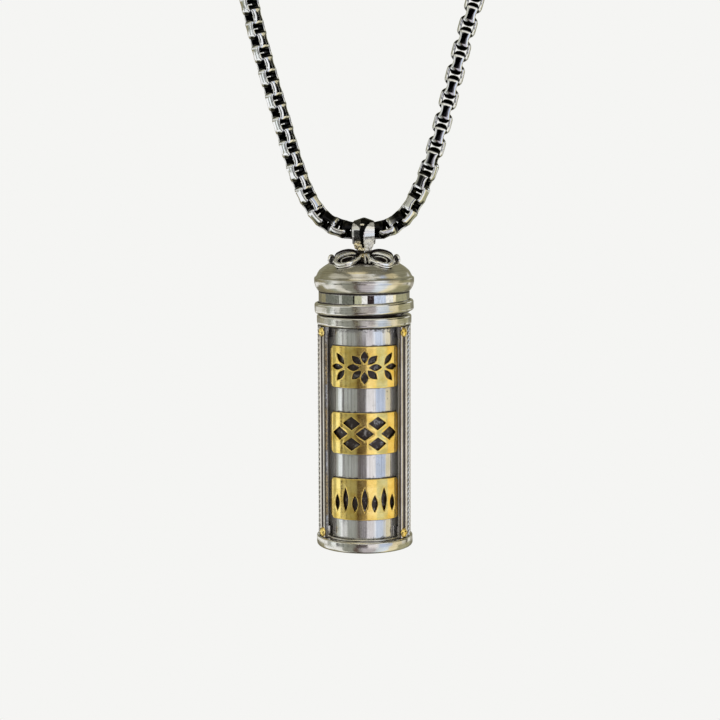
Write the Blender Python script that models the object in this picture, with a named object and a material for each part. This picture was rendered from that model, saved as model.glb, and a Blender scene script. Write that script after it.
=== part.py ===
"""Prayer-wheel pendant hanging on a box chain.

A drum wrapped in pierced gold plaques spins on its axle inside a two-window frame.
The frame screws up into a domed lid, the lid hangs by an eye from a bail, and the
bail rides on a chain that closes over its hanging point in a hook.

Metres in the scene, millimetres in the values below, +Z up, the front towards -Y.
The origin is the hanging point: the middle of the hook's underside, at the top.
"""

import math

import bmesh
import bpy
from mathutils import Matrix, Vector

MM = 0.001
MERGE = 1e-5

# Facets of the round pieces
TURN_STEPS = 32
SMALL_STEPS = 20
WIRE_SIDES = 8
PLATE_STEPS = 10
BAND_STEPS = 4
EDGE_STEPS = 2
BELT_STEPS = 24
CURVE_STEPS = 12
LEAF_STEPS = 5
NUT_SIDES = 6
SMOOTH_ANGLE = 35.0

# Fits
SEAT_GAP = 0.08
RUN_GAP = 0.08
THREAD_GAP = 0.1
DRUM_PLAY = 0.12
PARTING_GAP = 0.35

# Drum, its inner pieces and its plaques
DRUM_DIAMETER = 10.4
DRUM_WALL = 0.45
DISC_THICKNESS = 0.6
AXLE_DIAMETER = 1.0
SCROLL_CLEARANCE = 0.3
DRUM_TURN = 4.0
PLAQUE_RELIEF = 0.4
PLAQUE_SPAN = 112.0
PLAQUE_GAP = 3.43
PLAQUE_TOP_GAP = 0.95
PLAQUE_FOOT_GAP = 1.34
PLAQUE_CORNER = 0.8
PLAQUE_STRIPS = 8
PIERCING = 0.5
COLUMNS = {"front": 0.0, "back": 180.0}

# Bushes that carry the axle
BUSH_DIAMETER = 1.9
BUSH_DEPTH = 0.55
BUSH_FLOOR = 0.2
FLANGE_DIAMETER = 3.0
FLANGE_THICKNESS = 0.25

# Frame: base, two side plates, collar and rivets
PLATE_LENGTH = 29.37
PLATE_THICKNESS = 0.6
PLATE_SPAN = 68.0
PLATE_SIDES = {"left": 180.0, "right": 0.0}
PLATE_CLEARANCE = 0.17
RIM_WIDTH = 0.42
GROOVE_WIDTH = 0.3
GROOVE_DEPTH = 0.16
CHANNEL_WIDTH = 0.7
CHANNEL_DEPTH = 0.34
ROPE_DIAMETER = 0.42
ROPE_FROM_EDGE = 2.14
ROPE_SIDES = 8
LUG_HEIGHT = 1.6
LUG_THICKNESS = 0.3
LUG_INSET = 2.0
LUG_SET_BACK = 0.02
BASE_HEIGHT = 1.54
BASE_FLOOR = 1.1
BASE_OVERHANG = 0.25
BASE_STEP = 0.22
COLLAR_HEIGHT = 1.42
COLLAR_OVERHANG = 0.1
EDGE_ROUND = 0.22
RIVET_HEAD_WIDTH = 1.15
RIVET_HEAD_HEIGHT = 1.3
RIVET_HEAD_DEPTH = 0.42
RIVET_SHANK = 0.44
RIVET_INSET = 0.5
RIVET_FROM_END = 0.72
RIVET_STEPS = 10

# Lid: neck with its plug, ring, dome, flower cap, eye and nut
PLUG_LIFT = 0.2
PLUG_FLOOR = 0.9
NECK_WALL = 0.6
NECK_INSET = 0.15
NECK_LENGTH = 1.31
SPIGOT_STEP = 0.4
SPIGOT_LENGTH = 0.9
RING_THICKNESS = 0.47
RING_HEIGHT = 1.5
DOME_FOOT_OVERHANG = 0.15
DOME_BELLY = 0.47
DOME_BELLY_HEIGHT = 1.1
DOME_SHOULDER_HEIGHT = 1.92
DOME_SHOULDER_STEP = 0.24
DOME_HEIGHT = 4.1
DOME_TOP_DIAMETER = 9.0
DOME_WALL = 0.6
DOME_STEPS = 4
SHANK_DIAMETER = 1.0
SHANK_TAIL = 0.5
NUT_WIDTH = 2.2
NUT_THICKNESS = 0.7
HUB_DIAMETER = 3.4
HUB_THICKNESS = 0.35
PETALS = 4
PETAL_WIRE = 0.54
PETAL_ROOT = 1.9
PETAL_ROOT_RADIUS = 0.36
PETAL_RISE = 0.45
BROAD_REACH = 3.6
BROAD_RADIUS = 1.0
NARROW_REACH = 4.2
NARROW_RADIUS = 0.42
PETAL_POINTS = 16
PETAL_SIDES = 6
EYE_WIRE = 0.52
EYE_HOLE = 1.1
EYE_STAND = 0.14

# Bail
BAIL_BAR = 0.48
BAIL_BAR_WIDTH = 0.34
BAIL_BAR_EDGE = 0.3
BAIL_EYE_ROOM = 0.4
BAIL_FLARE = 1.5
BAIL_CHAIN_GAP = 0.16
BAIL_WIDTH = 3.2
BAIL_RIDGE = 0.6
BAIL_EDGE = 0.28
BAIL_STEPS = 36

# Chain, its end rings and the hook that closes it
CHAIN_DIAMETER = 2.5
CHAIN_ABOVE_EYE = 0.14
CHAIN_STEP = 2.5
HANG_RISE = 59.6
HOOK_WIRE = 0.9
HOOK_RADIUS = 2.0
HOOK_OPENING = 70.0
HOOK_ARC_POINTS = 13
LINK_GAP = 0.15
END_GAP = 0.3
RING_WIRE = 0.8
RING_RADIUS = 1.9
RING_TILT = 25.0
RING_STEPS = 18
# The chain's middle line from the left strand to the right, (across, above the bail).
CHAIN_ROUTE = (
    (-9.8, 57.4), (-12.9, 55.2), (-15.9, 51.6), (-17.4, 46.6), (-17.5, 41.4),
    (-16.7, 36.4), (-15.75, 32.1), (-14.45, 26.6), (-12.95, 21.0), (-11.35, 15.5),
    (-9.75, 9.9), (-8.05, 5.3), (-6.2, 2.3), (-4.5, 0.95), (-2.4, 0.2),
    (0.0, 0.0),
    (2.4, 0.2), (4.2, 0.95), (6.0, 2.5), (7.8, 5.7), (9.4, 9.9),
    (11.0, 15.5), (12.4, 21.0), (13.85, 26.6), (15.4, 32.1), (16.55, 36.4),
    (17.3, 41.4), (17.4, 46.6), (15.9, 51.6), (12.9, 55.2), (9.8, 57.4),
)

# Radii worked out from the drum outwards
drum_r = DRUM_DIAMETER / 2
axle_r = AXLE_DIAMETER / 2
bore_r = axle_r + RUN_GAP
plaque_in_r = drum_r + SEAT_GAP
plaque_out_r = plaque_in_r + PLAQUE_RELIEF
plate_in_r = plaque_out_r + PLATE_CLEARANCE
plate_out_r = plate_in_r + PLATE_THICKNESS
lug_out_r = plate_in_r - SEAT_GAP
lug_in_r = lug_out_r - LUG_THICKNESS
base_r = plate_out_r + BASE_OVERHANG
collar_r = plate_out_r + COLLAR_OVERHANG
plug_r = lug_in_r - THREAD_GAP
neck_r = plate_out_r - NECK_INSET
spigot_r = neck_r - SPIGOT_STEP
ring_in_r = neck_r + SEAT_GAP
ring_out_r = ring_in_r + RING_THICKNESS
shank_r = SHANK_DIAMETER / 2
shank_hole_r = shank_r + SEAT_GAP
petal_wire_r = PETAL_WIRE / 2
eye_wire_r = EYE_WIRE / 2
eye_hole_r = EYE_HOLE / 2
eye_r = eye_hole_r + eye_wire_r
bar_r = BAIL_BAR / 2
chain_r = CHAIN_DIAMETER / 2
bail_r = chain_r + BAIL_CHAIN_GAP

# Heights above the underside of the base
plate_foot = BASE_HEIGHT + SEAT_GAP
collar_foot = plate_foot + PLATE_LENGTH + SEAT_GAP
collar_top = collar_foot + COLLAR_HEIGHT
flange_top = BASE_FLOOR + SEAT_GAP + FLANGE_THICKNESS
plug_foot = collar_foot + PLUG_LIFT
plug_floor_top = plug_foot + PLUG_FLOOR
upper_flange_foot = plug_foot - SEAT_GAP - FLANGE_THICKNESS
drum_foot = flange_top + DRUM_PLAY
drum_top = upper_flange_foot - DRUM_PLAY
lid_foot = collar_top + PARTING_GAP
ring_top = lid_foot + RING_HEIGHT
neck_top = ring_top + NECK_LENGTH
dome_foot = neck_top + SEAT_GAP
dome_top = dome_foot + DOME_HEIGHT
hub_foot = dome_top + SEAT_GAP
hub_top = hub_foot + HUB_THICKNESS
eye_centre = hub_top + EYE_STAND + eye_r + eye_wire_r
bar_centre = eye_centre + eye_hole_r - RUN_GAP - bar_r
chain_centre = eye_centre + eye_r + eye_wire_r + CHAIN_ABOVE_EYE + chain_r
base_drop = HANG_RISE + chain_centre

pivot_heights = {}


def clear_scene():
    for found in list(bpy.data.objects):
        bpy.data.objects.remove(found)


def finish(name, colour, roughness, metallic=1.0):
    made = bpy.data.materials.new(name)
    made.use_nodes = True
    shader = made.node_tree.nodes["Principled BSDF"]
    shader.inputs["Base Color"].default_value = (*colour, 1.0)
    shader.inputs["Roughness"].default_value = roughness
    shader.inputs["Metallic"].default_value = metallic
    return made


def pivot(name, height, parent=None):
    """An empty on a joint's axis, at a height above the underside of the base."""
    made = bpy.data.objects.new(name, None)
    bpy.context.scene.collection.objects.link(made)
    made.parent = parent
    above = pivot_heights[parent.name] if parent else base_drop
    made.location.z = (height - above) * MM
    pivot_heights[name] = height
    return made


def place(name, shape, material, parent, at=(0, 0, 0), turn=(0, 0, 0)):
    """An object made from a bmesh, mesh or curve whose heights run from the underside of the base."""
    if isinstance(shape, bmesh.types.BMesh):
        shape = finished_mesh(name, shape)
    if not shape.materials:
        shape.materials.append(material)
    made = bpy.data.objects.new(name, shape)
    bpy.context.scene.collection.objects.link(made)
    made.parent = parent
    made.location = (Vector(at) - Vector((0, 0, pivot_heights[parent.name]))) * MM
    made.rotation_euler = [math.radians(angle) for angle in turn]
    return made


def finished_mesh(name, shape):
    bmesh.ops.scale(shape, vec=(MM, MM, MM), verts=shape.verts)
    mesh = bpy.data.meshes.new(name)
    shape.to_mesh(mesh)
    shape.free()
    mesh.shade_smooth()
    mesh.set_sharp_from_angle(angle=math.radians(SMOOTH_ANGLE))
    return mesh


def operand(name, shape, material, parent):
    """A hidden shape that a Boolean adds to a piece or takes from it."""
    made = place(name, shape, material, parent)
    made.hide_render = True
    made.display_type = "WIRE"
    return made


def combine(piece, other, operation):
    step = piece.modifiers.new(other.name, "BOOLEAN")
    step.operation = operation
    step.object = other


def spaced(start, end, steps):
    return [start + (end - start) * step / steps for step in range(steps + 1)]


def arc(centre, radius, start, end, steps):
    """Points on an arc, its angles in degrees."""
    angles = [math.radians(angle) for angle in spaced(start, end, steps)]
    return [(centre[0] + radius * math.cos(a), centre[1] + radius * math.sin(a)) for a in angles]


def polar(radius, angle):
    return arc((0, 0), radius, angle, angle, 1)[0]


def even_points(line, count, closed=False):
    """Points at even spacing along a line of points."""
    line = [Vector(point) for point in line]
    if closed:
        line.append(line[0])
    reach = [0.0]
    for start, end in zip(line, line[1:]):
        reach.append(reach[-1] + (end - start).length)
    found = []
    place_at = 0
    for wanted in spaced(0.0, reach[-1], count if closed else count - 1)[:count]:
        while place_at < len(line) - 2 and reach[place_at + 1] < wanted:
            place_at += 1
        share = (wanted - reach[place_at]) / (reach[place_at + 1] - reach[place_at])
        found.append(line[place_at].lerp(line[place_at + 1], share))
    return found


def smooth_line(points, step):
    """Even points along a smooth curve through the given points."""
    points = [Vector(point) for point in points]
    points = [2 * points[0] - points[1], *points, 2 * points[-1] - points[-2]]
    dense = []
    for a, b, c, d in zip(points, points[1:], points[2:], points[3:]):
        for t in spaced(0.0, 1.0, CURVE_STEPS)[:-1]:
            bend = (2 * a - 5 * b + 4 * c - d) * t + (3 * b - a - 3 * c + d) * t * t
            dense.append(b + (c - a + bend) * t / 2)
    dense.append(points[-2])
    length = sum((end - start).length for start, end in zip(dense, dense[1:]))
    return even_points(dense, round(length / step) + 1)


def belt(root, root_radius, reach, reach_radius, count):
    """Even points round a belt over two circles, whose centres lie at root and reach along X."""
    lean = math.degrees(math.asin((reach_radius - root_radius) / (reach - root)))
    far = arc((reach, 0), reach_radius, -90 - lean, 90 + lean, BELT_STEPS)
    near = arc((root, 0), root_radius, 90 + lean, 270 - lean, BELT_STEPS)
    return even_points(far + near, count, closed=True)


def spun(profile, steps=TURN_STEPS):
    """An outline of (radius, height) points turned about Z, closed or with both ends on the axis."""
    shape = bmesh.new()
    points = [shape.verts.new((radius, 0, height)) for radius, height in profile]
    pairs = list(zip(points, points[1:]))
    if profile[0][0] > 0:
        pairs.append((points[-1], points[0]))
    edges = [shape.edges.new(pair) for pair in pairs]
    bmesh.ops.spin(
        shape, geom=points + edges, cent=(0, 0, 0), axis=(0, 0, 1),
        angle=math.tau, steps=steps, use_merge=True,
    )
    bmesh.ops.remove_doubles(shape, verts=shape.verts, dist=MERGE)
    return faced_out(shape)


def extruded(outline, foot, top):
    shape = bmesh.new()
    floor = shape.faces.new([shape.verts.new((x, y, foot)) for x, y in outline])
    raise_faces(shape, [floor], top - foot)
    return faced_out(shape)


def faced_out(shape):
    bmesh.ops.recalc_face_normals(shape, faces=shape.faces)
    return shape


def raise_faces(shape, faces, height):
    raised = bmesh.ops.extrude_face_region(shape, geom=faces)["geom"]
    moved = [part for part in raised if isinstance(part, bmesh.types.BMVert)]
    bmesh.ops.translate(shape, vec=(0, 0, height), verts=moved)


def lofted(sections):
    """A closed ring of sections, each a loop of as many points."""
    shape = bmesh.new()
    rows = [[shape.verts.new(point) for point in section] for section in sections]
    for row, after in zip(rows, rows[1:] + rows[:1]):
        for side in range(len(row)):
            shape.faces.new((row[side - 1], row[side], after[side], after[side - 1]))
    return faced_out(shape)


def ring(radius, wire_radius, steps, sides):
    return spun(arc((radius, 0), wire_radius, 0, 360 - 360 / sides, sides - 1), steps)


def wire(name, points, diameter, material, parent):
    """A round wire along a line of points, with flat ends."""
    path = bpy.data.curves.new(name, "CURVE")
    path.dimensions = "3D"
    path.bevel_depth = diameter / 2 * MM
    path.bevel_resolution = 2
    path.use_fill_caps = True
    spline = path.splines.new("POLY")
    spline.points.add(len(points) - 1)
    for knot, point in zip(spline.points, points):
        knot.co = (*(Vector(point) * MM), 1.0)
    return place(name, path, material, parent)


def rounded_ring(inner, outer, foot, top, edge):
    """The outline of a ring with a square inside and rounded outer edges."""
    lower = arc((outer - edge, foot + edge), edge, -90, 0, EDGE_STEPS)
    upper = arc((outer - edge, top - edge), edge, 0, 90, EDGE_STEPS)
    return [(inner, foot), *lower, *upper, (inner, top)]


def build_base(parent, silver):
    seat_r = BUSH_DIAMETER / 2 + SEAT_GAP
    seat_foot = BASE_FLOOR - BUSH_DEPTH - SEAT_GAP
    rim = rounded_ring(0, base_r, 0, BASE_HEIGHT, EDGE_ROUND)[:-1]
    profile = [
        *rim,
        (lug_out_r, BASE_HEIGHT), (lug_out_r, BASE_HEIGHT + BASE_STEP),
        (lug_in_r, BASE_HEIGHT + BASE_STEP), (lug_in_r, BASE_FLOOR),
        (seat_r, BASE_FLOOR), (seat_r, seat_foot), (0, seat_foot),
    ]
    base = place("base_cup", spun(profile), silver, parent)
    lug_root = (BASE_FLOOR + BASE_HEIGHT) / 2
    for side, angle in PLATE_SIDES.items():
        lug = lug_shape(angle, lug_root, BASE_HEIGHT + LUG_HEIGHT)
        combine(base, operand(f"base_lug_{side}", lug, silver, parent), "UNION")
    return base


def build_collar(parent, silver):
    profile = rounded_ring(lug_in_r, collar_r, collar_foot, collar_top, EDGE_ROUND)
    collar = place("frame_collar", spun(profile), silver, parent)
    lug_root = collar_foot + COLLAR_HEIGHT / 4
    for side, angle in PLATE_SIDES.items():
        lug = lug_shape(angle, collar_foot - LUG_HEIGHT, lug_root)
        combine(collar, operand(f"collar_lug_{side}", lug, silver, parent), "UNION")
    return collar


def lug_shape(angle, foot, top):
    """A tab behind a side plate, which the rivets go into."""
    half = PLATE_SPAN / 2 - LUG_INSET
    inner_r = lug_in_r + LUG_SET_BACK
    outer_r = lug_out_r - LUG_SET_BACK
    outer = arc((0, 0), outer_r, angle - half, angle + half, PLATE_STEPS)
    inner = arc((0, 0), inner_r, angle + half, angle - half, PLATE_STEPS)
    return extruded(outer + inner, foot, top)


def from_plate_middle(inset):
    """The angle between a plate's middle and a line this far in from its edge."""
    return PLATE_SPAN / 2 - math.degrees(inset / plate_out_r)


def plate_lines(inset):
    """The angle of a line this far in from each edge of the two plates."""
    swing = from_plate_middle(inset)
    left = PLATE_SIDES["left"]
    right = PLATE_SIDES["right"]
    return {
        "left_front": left + swing, "left_back": left - swing,
        "right_front": right - swing, "right_back": right + swing,
    }


def build_side_plate(side, angle, parent, silver):
    """A plate with a rim and a groove along both edges, and a channel for each twisted wire."""
    half = PLATE_SPAN / 2
    rim_edge = from_plate_middle(RIM_WIDTH)
    band_edge = from_plate_middle(RIM_WIDTH + GROOVE_WIDTH)
    wall = from_plate_middle(ROPE_FROM_EDGE - CHANNEL_WIDTH / 2)
    far_wall = from_plate_middle(ROPE_FROM_EDGE + CHANNEL_WIDTH / 2)
    groove_r = plate_out_r - GROOVE_DEPTH
    channel_r = plate_out_r - CHANNEL_DEPTH
    runs = [
        (plate_in_r, half, -half, PLATE_STEPS),
        (plate_out_r, -half, -rim_edge, 1),
        (groove_r, -rim_edge, -band_edge, 1),
        (plate_out_r, -band_edge, -wall, 2),
        (channel_r, -wall, -far_wall, 1),
        (plate_out_r, -far_wall, far_wall, BAND_STEPS),
        (channel_r, far_wall, wall, 1),
        (plate_out_r, wall, band_edge, 2),
        (groove_r, band_edge, rim_edge, 1),
        (plate_out_r, rim_edge, half, 1),
    ]
    outline = []
    for radius, start, end, steps in runs:
        outline += arc((0, 0), radius, angle + start, angle + end, steps)
    shape = extruded(outline, plate_foot, plate_foot + PLATE_LENGTH)
    return place(f"side_plate_{side}", shape, silver, parent)


def build_rope_wires(parent, silver):
    """The twisted wires in the side plates' channels, as plain rods."""
    rope_r = ROPE_DIAMETER / 2
    top = plate_foot + PLATE_LENGTH
    reach = plate_out_r - CHANNEL_DEPTH + SEAT_GAP + rope_r
    profile = [(0, plate_foot), (rope_r, plate_foot), (rope_r, top), (0, top)]
    rod = finished_mesh("rope_wire", spun(profile, ROPE_SIDES))
    rod.materials.append(silver)
    for line, angle in plate_lines(ROPE_FROM_EDGE).items():
        place(f"rope_wire_{line}", rod, silver, parent, at=(*polar(reach, angle), 0))


def rivet_spots():
    """A name, an angle about the axis and a height for each rivet."""
    heights = {"lower": plate_foot + RIVET_FROM_END, "upper": plate_foot + PLATE_LENGTH - RIVET_FROM_END}
    spots = []
    for line, angle in plate_lines(RIVET_INSET).items():
        for end, height in heights.items():
            spots.append((f"rivet_{line}_{end}", angle, height))
    return spots


def build_rivets(parent, gold, pierced):
    shank_foot = lug_in_r + LUG_SET_BACK - plate_out_r
    head_r = RIVET_HEAD_WIDTH / 2
    dome = [(head_r * math.cos(a), SEAT_GAP + RIVET_HEAD_DEPTH * math.sin(a))
            for a in spaced(0, math.pi / 2, EDGE_STEPS)]
    profile = [(0, shank_foot), (RIVET_SHANK / 2, shank_foot), (RIVET_SHANK / 2, SEAT_GAP), *dome[:-1]]
    profile.append((0, SEAT_GAP + RIVET_HEAD_DEPTH))
    rivet = spun(profile, RIVET_STEPS)
    for point in rivet.verts:
        if point.co.z > SEAT_GAP - MERGE and point.co.xy.length > RIVET_SHANK / 2 + MERGE:
            point.co.x *= RIVET_HEAD_HEIGHT / RIVET_HEAD_WIDTH
    mesh = finished_mesh("rivet", rivet)
    mesh.materials.append(gold)
    hole_r = RIVET_SHANK / 2 + SEAT_GAP
    for name, angle, height in rivet_spots():
        spot = (*polar(plate_out_r, angle), height)
        place(name, mesh, gold, parent, at=spot, turn=(0, 90, angle))
        hole = bmesh.new()
        bmesh.ops.create_cone(
            hole, cap_ends=True, segments=RIVET_STEPS, radius1=hole_r, radius2=hole_r,
            depth=2 * (PLATE_THICKNESS + LUG_THICKNESS),
        )
        turned = Matrix.Rotation(math.radians(angle), 4, "Z") @ Matrix.Rotation(math.radians(90), 4, "Y")
        bmesh.ops.transform(hole, matrix=Matrix.Translation(spot) @ turned, verts=hole.verts)
        cutter = operand(f"hole_{name}", hole, gold, parent)
        end = pierced["base"] if name.endswith("lower") else pierced["collar"]
        side = pierced["left"] if "_left_" in name else pierced["right"]
        combine(end, cutter, "DIFFERENCE")
        combine(side, cutter, "DIFFERENCE")


def build_bushes(frame, lid, brass):
    bush_r = BUSH_DIAMETER / 2
    flange_r = FLANGE_DIAMETER / 2
    foot = BASE_FLOOR - BUSH_DEPTH
    lower = [
        (0, foot), (bush_r, foot), (bush_r, flange_top - FLANGE_THICKNESS),
        (flange_r, flange_top - FLANGE_THICKNESS), (flange_r, flange_top),
        (bore_r, flange_top), (bore_r, foot + BUSH_FLOOR), (0, foot + BUSH_FLOOR),
    ]
    place("lower_bush", spun(lower, SMALL_STEPS), brass, frame)
    shoulder = upper_flange_foot + FLANGE_THICKNESS
    upper = [
        (bore_r, upper_flange_foot), (flange_r, upper_flange_foot), (flange_r, shoulder),
        (bush_r, shoulder), (bush_r, plug_floor_top), (bore_r, plug_floor_top),
    ]
    place("upper_bush", spun(upper, SMALL_STEPS), brass, lid)


def build_drum(parent, silver, brass, paper):
    inner_r = drum_r - DRUM_WALL
    shell = [(inner_r, drum_foot), (drum_r, drum_foot), (drum_r, drum_top), (inner_r, drum_top)]
    place("drum_shell", spun(shell), silver, parent)
    disc_r = inner_r - SEAT_GAP
    hole_r = axle_r + SEAT_GAP
    for name, foot in (("bottom", drum_foot), ("top", drum_top - DISC_THICKNESS)):
        top = foot + DISC_THICKNESS
        disc = [(hole_r, foot), (disc_r, foot), (disc_r, top), (hole_r, top)]
        place(f"drum_disc_{name}", spun(disc, SMALL_STEPS), silver, parent)
    axle_foot = BASE_FLOOR - BUSH_DEPTH + BUSH_FLOOR + RUN_GAP
    axle_top = plug_floor_top - RUN_GAP
    axle = [(0, axle_foot), (axle_r, axle_foot), (axle_r, axle_top), (0, axle_top)]
    place("drum_axle", spun(axle, SMALL_STEPS), brass, parent)
    core_r = axle_r + SCROLL_CLEARANCE
    roll_r = inner_r - SCROLL_CLEARANCE
    roll_foot = drum_foot + DISC_THICKNESS + SEAT_GAP
    roll_top = drum_top - DISC_THICKNESS - SCROLL_CLEARANCE
    roll = [(core_r, roll_foot), (roll_r, roll_foot), (roll_r, roll_top), (core_r, roll_top)]
    place("paper_roll", spun(roll, SMALL_STEPS), paper, parent)


def leaf(foot, length, width, angle):
    """A hole with the outline of a leaf that grows from its foot, leaning from upright."""
    sides = [(width / 2 * math.sin(math.pi * t), length * t) for t in spaced(0.0, 1.0, LEAF_STEPS)]
    outline = sides + [(-x, y) for x, y in reversed(sides[1:-1])]
    lean = Matrix.Rotation(math.radians(-angle), 2)
    return [tuple(Vector(foot) + lean @ Vector(point)) for point in outline]


def panel(width, height):
    """The outline of a plaque, with rounded corners."""
    x = width / 2 - PLAQUE_CORNER
    y = height / 2 - PLAQUE_CORNER
    outline = []
    for turn, corner in ((0, (x, y)), (90, (-x, y)), (180, (-x, -y)), (270, (x, -y))):
        outline += arc(corner, PLAQUE_CORNER, turn, turn + 90, EDGE_STEPS)
    return outline


def rosette_holes(width, height):
    """A flower of eight petals between two sprigs."""
    holes = []
    for angle in range(0, 360, 45):
        foot = polar(height * 0.1, 90 - angle)
        holes.append(leaf(foot, height * 0.3, height * 0.16, angle))
    for way in (-1, 1):
        for angle in (38, 90, 142):
            x, y = polar(height * 0.08, 90 - angle)
            foot = (way * (width * 0.23 + x), y)
            holes.append(leaf(foot, height * 0.34, height * 0.14, way * angle))
    return holes


def lattice_holes(width, height):
    """Lozenges between crossing bands."""
    across = width / 6
    up = height / 4
    half_x = across - PIERCING
    half_y = up - PIERCING
    holes = []
    for column in range(-2, 3):
        for row in (-1, 0, 1):
            if (column + row) % 2 == 0:
                x = column * across
                y = row * up
                holes.append([(x + half_x, y), (x, y + half_y), (x - half_x, y), (x, y - half_y)])
    return holes


def lotus_holes(width, height):
    """A border of upright petals, tall and short in turn."""
    holes = []
    for place_in_row in range(-3, 4):
        length = height * (0.42 if place_in_row % 2 else 0.6)
        holes.append(leaf((place_in_row * width / 8, -height * 0.31), length, width / 8 - PIERCING, 0))
    return holes


def pierced_plaque(holes, width, height):
    """A flat panel with holes, raised off the drum and bent round it."""
    shape = bmesh.new()
    for outline in [panel(width, height), *holes]:
        points = [shape.verts.new((x, y, 0)) for x, y in outline]
        for start, end in zip(points, points[1:] + points[:1]):
            shape.edges.new((start, end))
    bmesh.ops.triangle_fill(shape, use_beauty=True, edges=shape.edges[:])
    raise_faces(shape, shape.faces[:], PLAQUE_RELIEF)
    faced_out(shape)
    for x in spaced(-width / 2, width / 2, PLAQUE_STRIPS)[1:-1]:
        everything = shape.verts[:] + shape.edges[:] + shape.faces[:]
        bmesh.ops.bisect_plane(shape, geom=everything, dist=MERGE, plane_co=(x, 0, 0), plane_no=(1, 0, 0))
    for point in shape.verts:
        angle = point.co.x / drum_r
        radius = plaque_in_r + point.co.z
        point.co = (radius * math.sin(angle), -radius * math.cos(angle), point.co.y)
    return shape


def build_plaques(parent, gold):
    zone_foot = BASE_HEIGHT + LUG_HEIGHT + PLAQUE_FOOT_GAP
    zone_top = collar_foot - LUG_HEIGHT - PLAQUE_TOP_GAP
    designs = {"rosette": rosette_holes, "lattice": lattice_holes, "lotus": lotus_holes}
    height = (zone_top - zone_foot - (len(designs) - 1) * PLAQUE_GAP) / len(designs)
    width = math.radians(PLAQUE_SPAN) * drum_r
    for row, (design, holes) in enumerate(designs.items()):
        mesh = finished_mesh(design, pierced_plaque(holes(width, height), width, height))
        mesh.materials.append(gold)
        middle = zone_top - height / 2 - row * (height + PLAQUE_GAP)
        for column, angle in COLUMNS.items():
            turn = (0, 0, DRUM_TURN + angle)
            place(f"plaque_{design}_{column}", mesh, gold, parent, at=(0, 0, middle), turn=turn)


def build_lid(parent, silver):
    seat_r = BUSH_DIAMETER / 2 + SEAT_GAP
    spigot_top = neck_top + SPIGOT_LENGTH
    cup_r = plug_r - NECK_WALL
    neck = [
        (seat_r, plug_foot), (plug_r, plug_foot), (plug_r, lid_foot), (neck_r, lid_foot),
        (neck_r, neck_top), (spigot_r, neck_top), (spigot_r, spigot_top), (cup_r, spigot_top),
        (cup_r, plug_floor_top), (seat_r, plug_floor_top),
    ]
    place("lid_neck", spun(neck), silver, parent)
    ring_outline = rounded_ring(ring_in_r, ring_out_r, lid_foot, ring_top, EDGE_ROUND)
    place("lid_ring", spun(ring_outline), silver, parent)
    place("lid_dome", spun(dome_profile(spigot_top)), silver, parent)


def dome_profile(spigot_top):
    foot_r = neck_r + DOME_FOOT_OVERHANG
    belly_r = foot_r + DOME_BELLY
    top_r = DOME_TOP_DIAMETER / 2
    belly = dome_foot + DOME_BELLY_HEIGHT
    shoulder = dome_foot + DOME_SHOULDER_HEIGHT
    outside = [(belly_r - DOME_BELLY * (1 - t) ** 2, dome_foot + DOME_BELLY_HEIGHT * t)
               for t in spaced(0.0, 1.0, DOME_STEPS)]
    outside += [(belly_r - DOME_SHOULDER_STEP * t ** 2, belly + (shoulder - belly) * t)
                for t in spaced(0.0, 1.0, DOME_STEPS)[1:]]
    outside += [(top_r, dome_top - EDGE_ROUND / 2), (top_r - EDGE_ROUND, dome_top)]
    socket_r = spigot_r + SEAT_GAP
    roof = dome_top - DOME_WALL
    inside = [
        (shank_hole_r, dome_top), (shank_hole_r, roof), (top_r - DOME_WALL, roof),
        (socket_r, spigot_top + SEAT_GAP), (socket_r, dome_foot),
    ]
    return outside + inside


def build_flower(parent, silver):
    hub_r = HUB_DIAMETER / 2
    hub = [(shank_hole_r, hub_foot), (hub_r, hub_foot), (hub_r, hub_top), (shank_hole_r, hub_top)]
    flower = place("flower_cap", spun(hub, SMALL_STEPS), silver, parent)
    for petal in range(PETALS):
        turn = 360 / PETALS * petal
        broad = petal_shape(BROAD_REACH, BROAD_RADIUS, turn + 180 / PETALS)
        narrow = petal_shape(NARROW_REACH, NARROW_RADIUS, turn)
        combine(flower, operand(f"broad_petal_{petal + 1}", broad, silver, parent), "UNION")
        combine(flower, operand(f"narrow_petal_{petal + 1}", narrow, silver, parent), "UNION")


def petal_shape(reach, radius, turn):
    """A wire loop from the hub out, arched over its length."""
    start = PETAL_ROOT - PETAL_ROOT_RADIUS
    span = reach + radius - start
    line = []
    for point in belt(PETAL_ROOT, PETAL_ROOT_RADIUS, reach, radius, PETAL_POINTS):
        arch = PETAL_RISE * math.sin(math.pi * (point.x - start) / span)
        line.append(Vector((point.x, point.y, hub_foot + petal_wire_r + arch)))
    sections = []
    for before, point, after in zip(line[-1:] + line, line, line[1:] + line[:1]):
        along = (after - before).normalized()
        side = along.cross(Vector((0, 0, 1))).normalized()
        up = side.cross(along)
        sections.append([point + side * x + up * y for x, y in
                         arc((0, 0), petal_wire_r, 0, 360 - 360 / PETAL_SIDES, PETAL_SIDES - 1)])
    shape = lofted(sections)
    turned = Matrix.Rotation(math.radians(turn), 4, "Z")
    bmesh.ops.transform(shape, matrix=turned, verts=shape.verts)
    return shape


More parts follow.
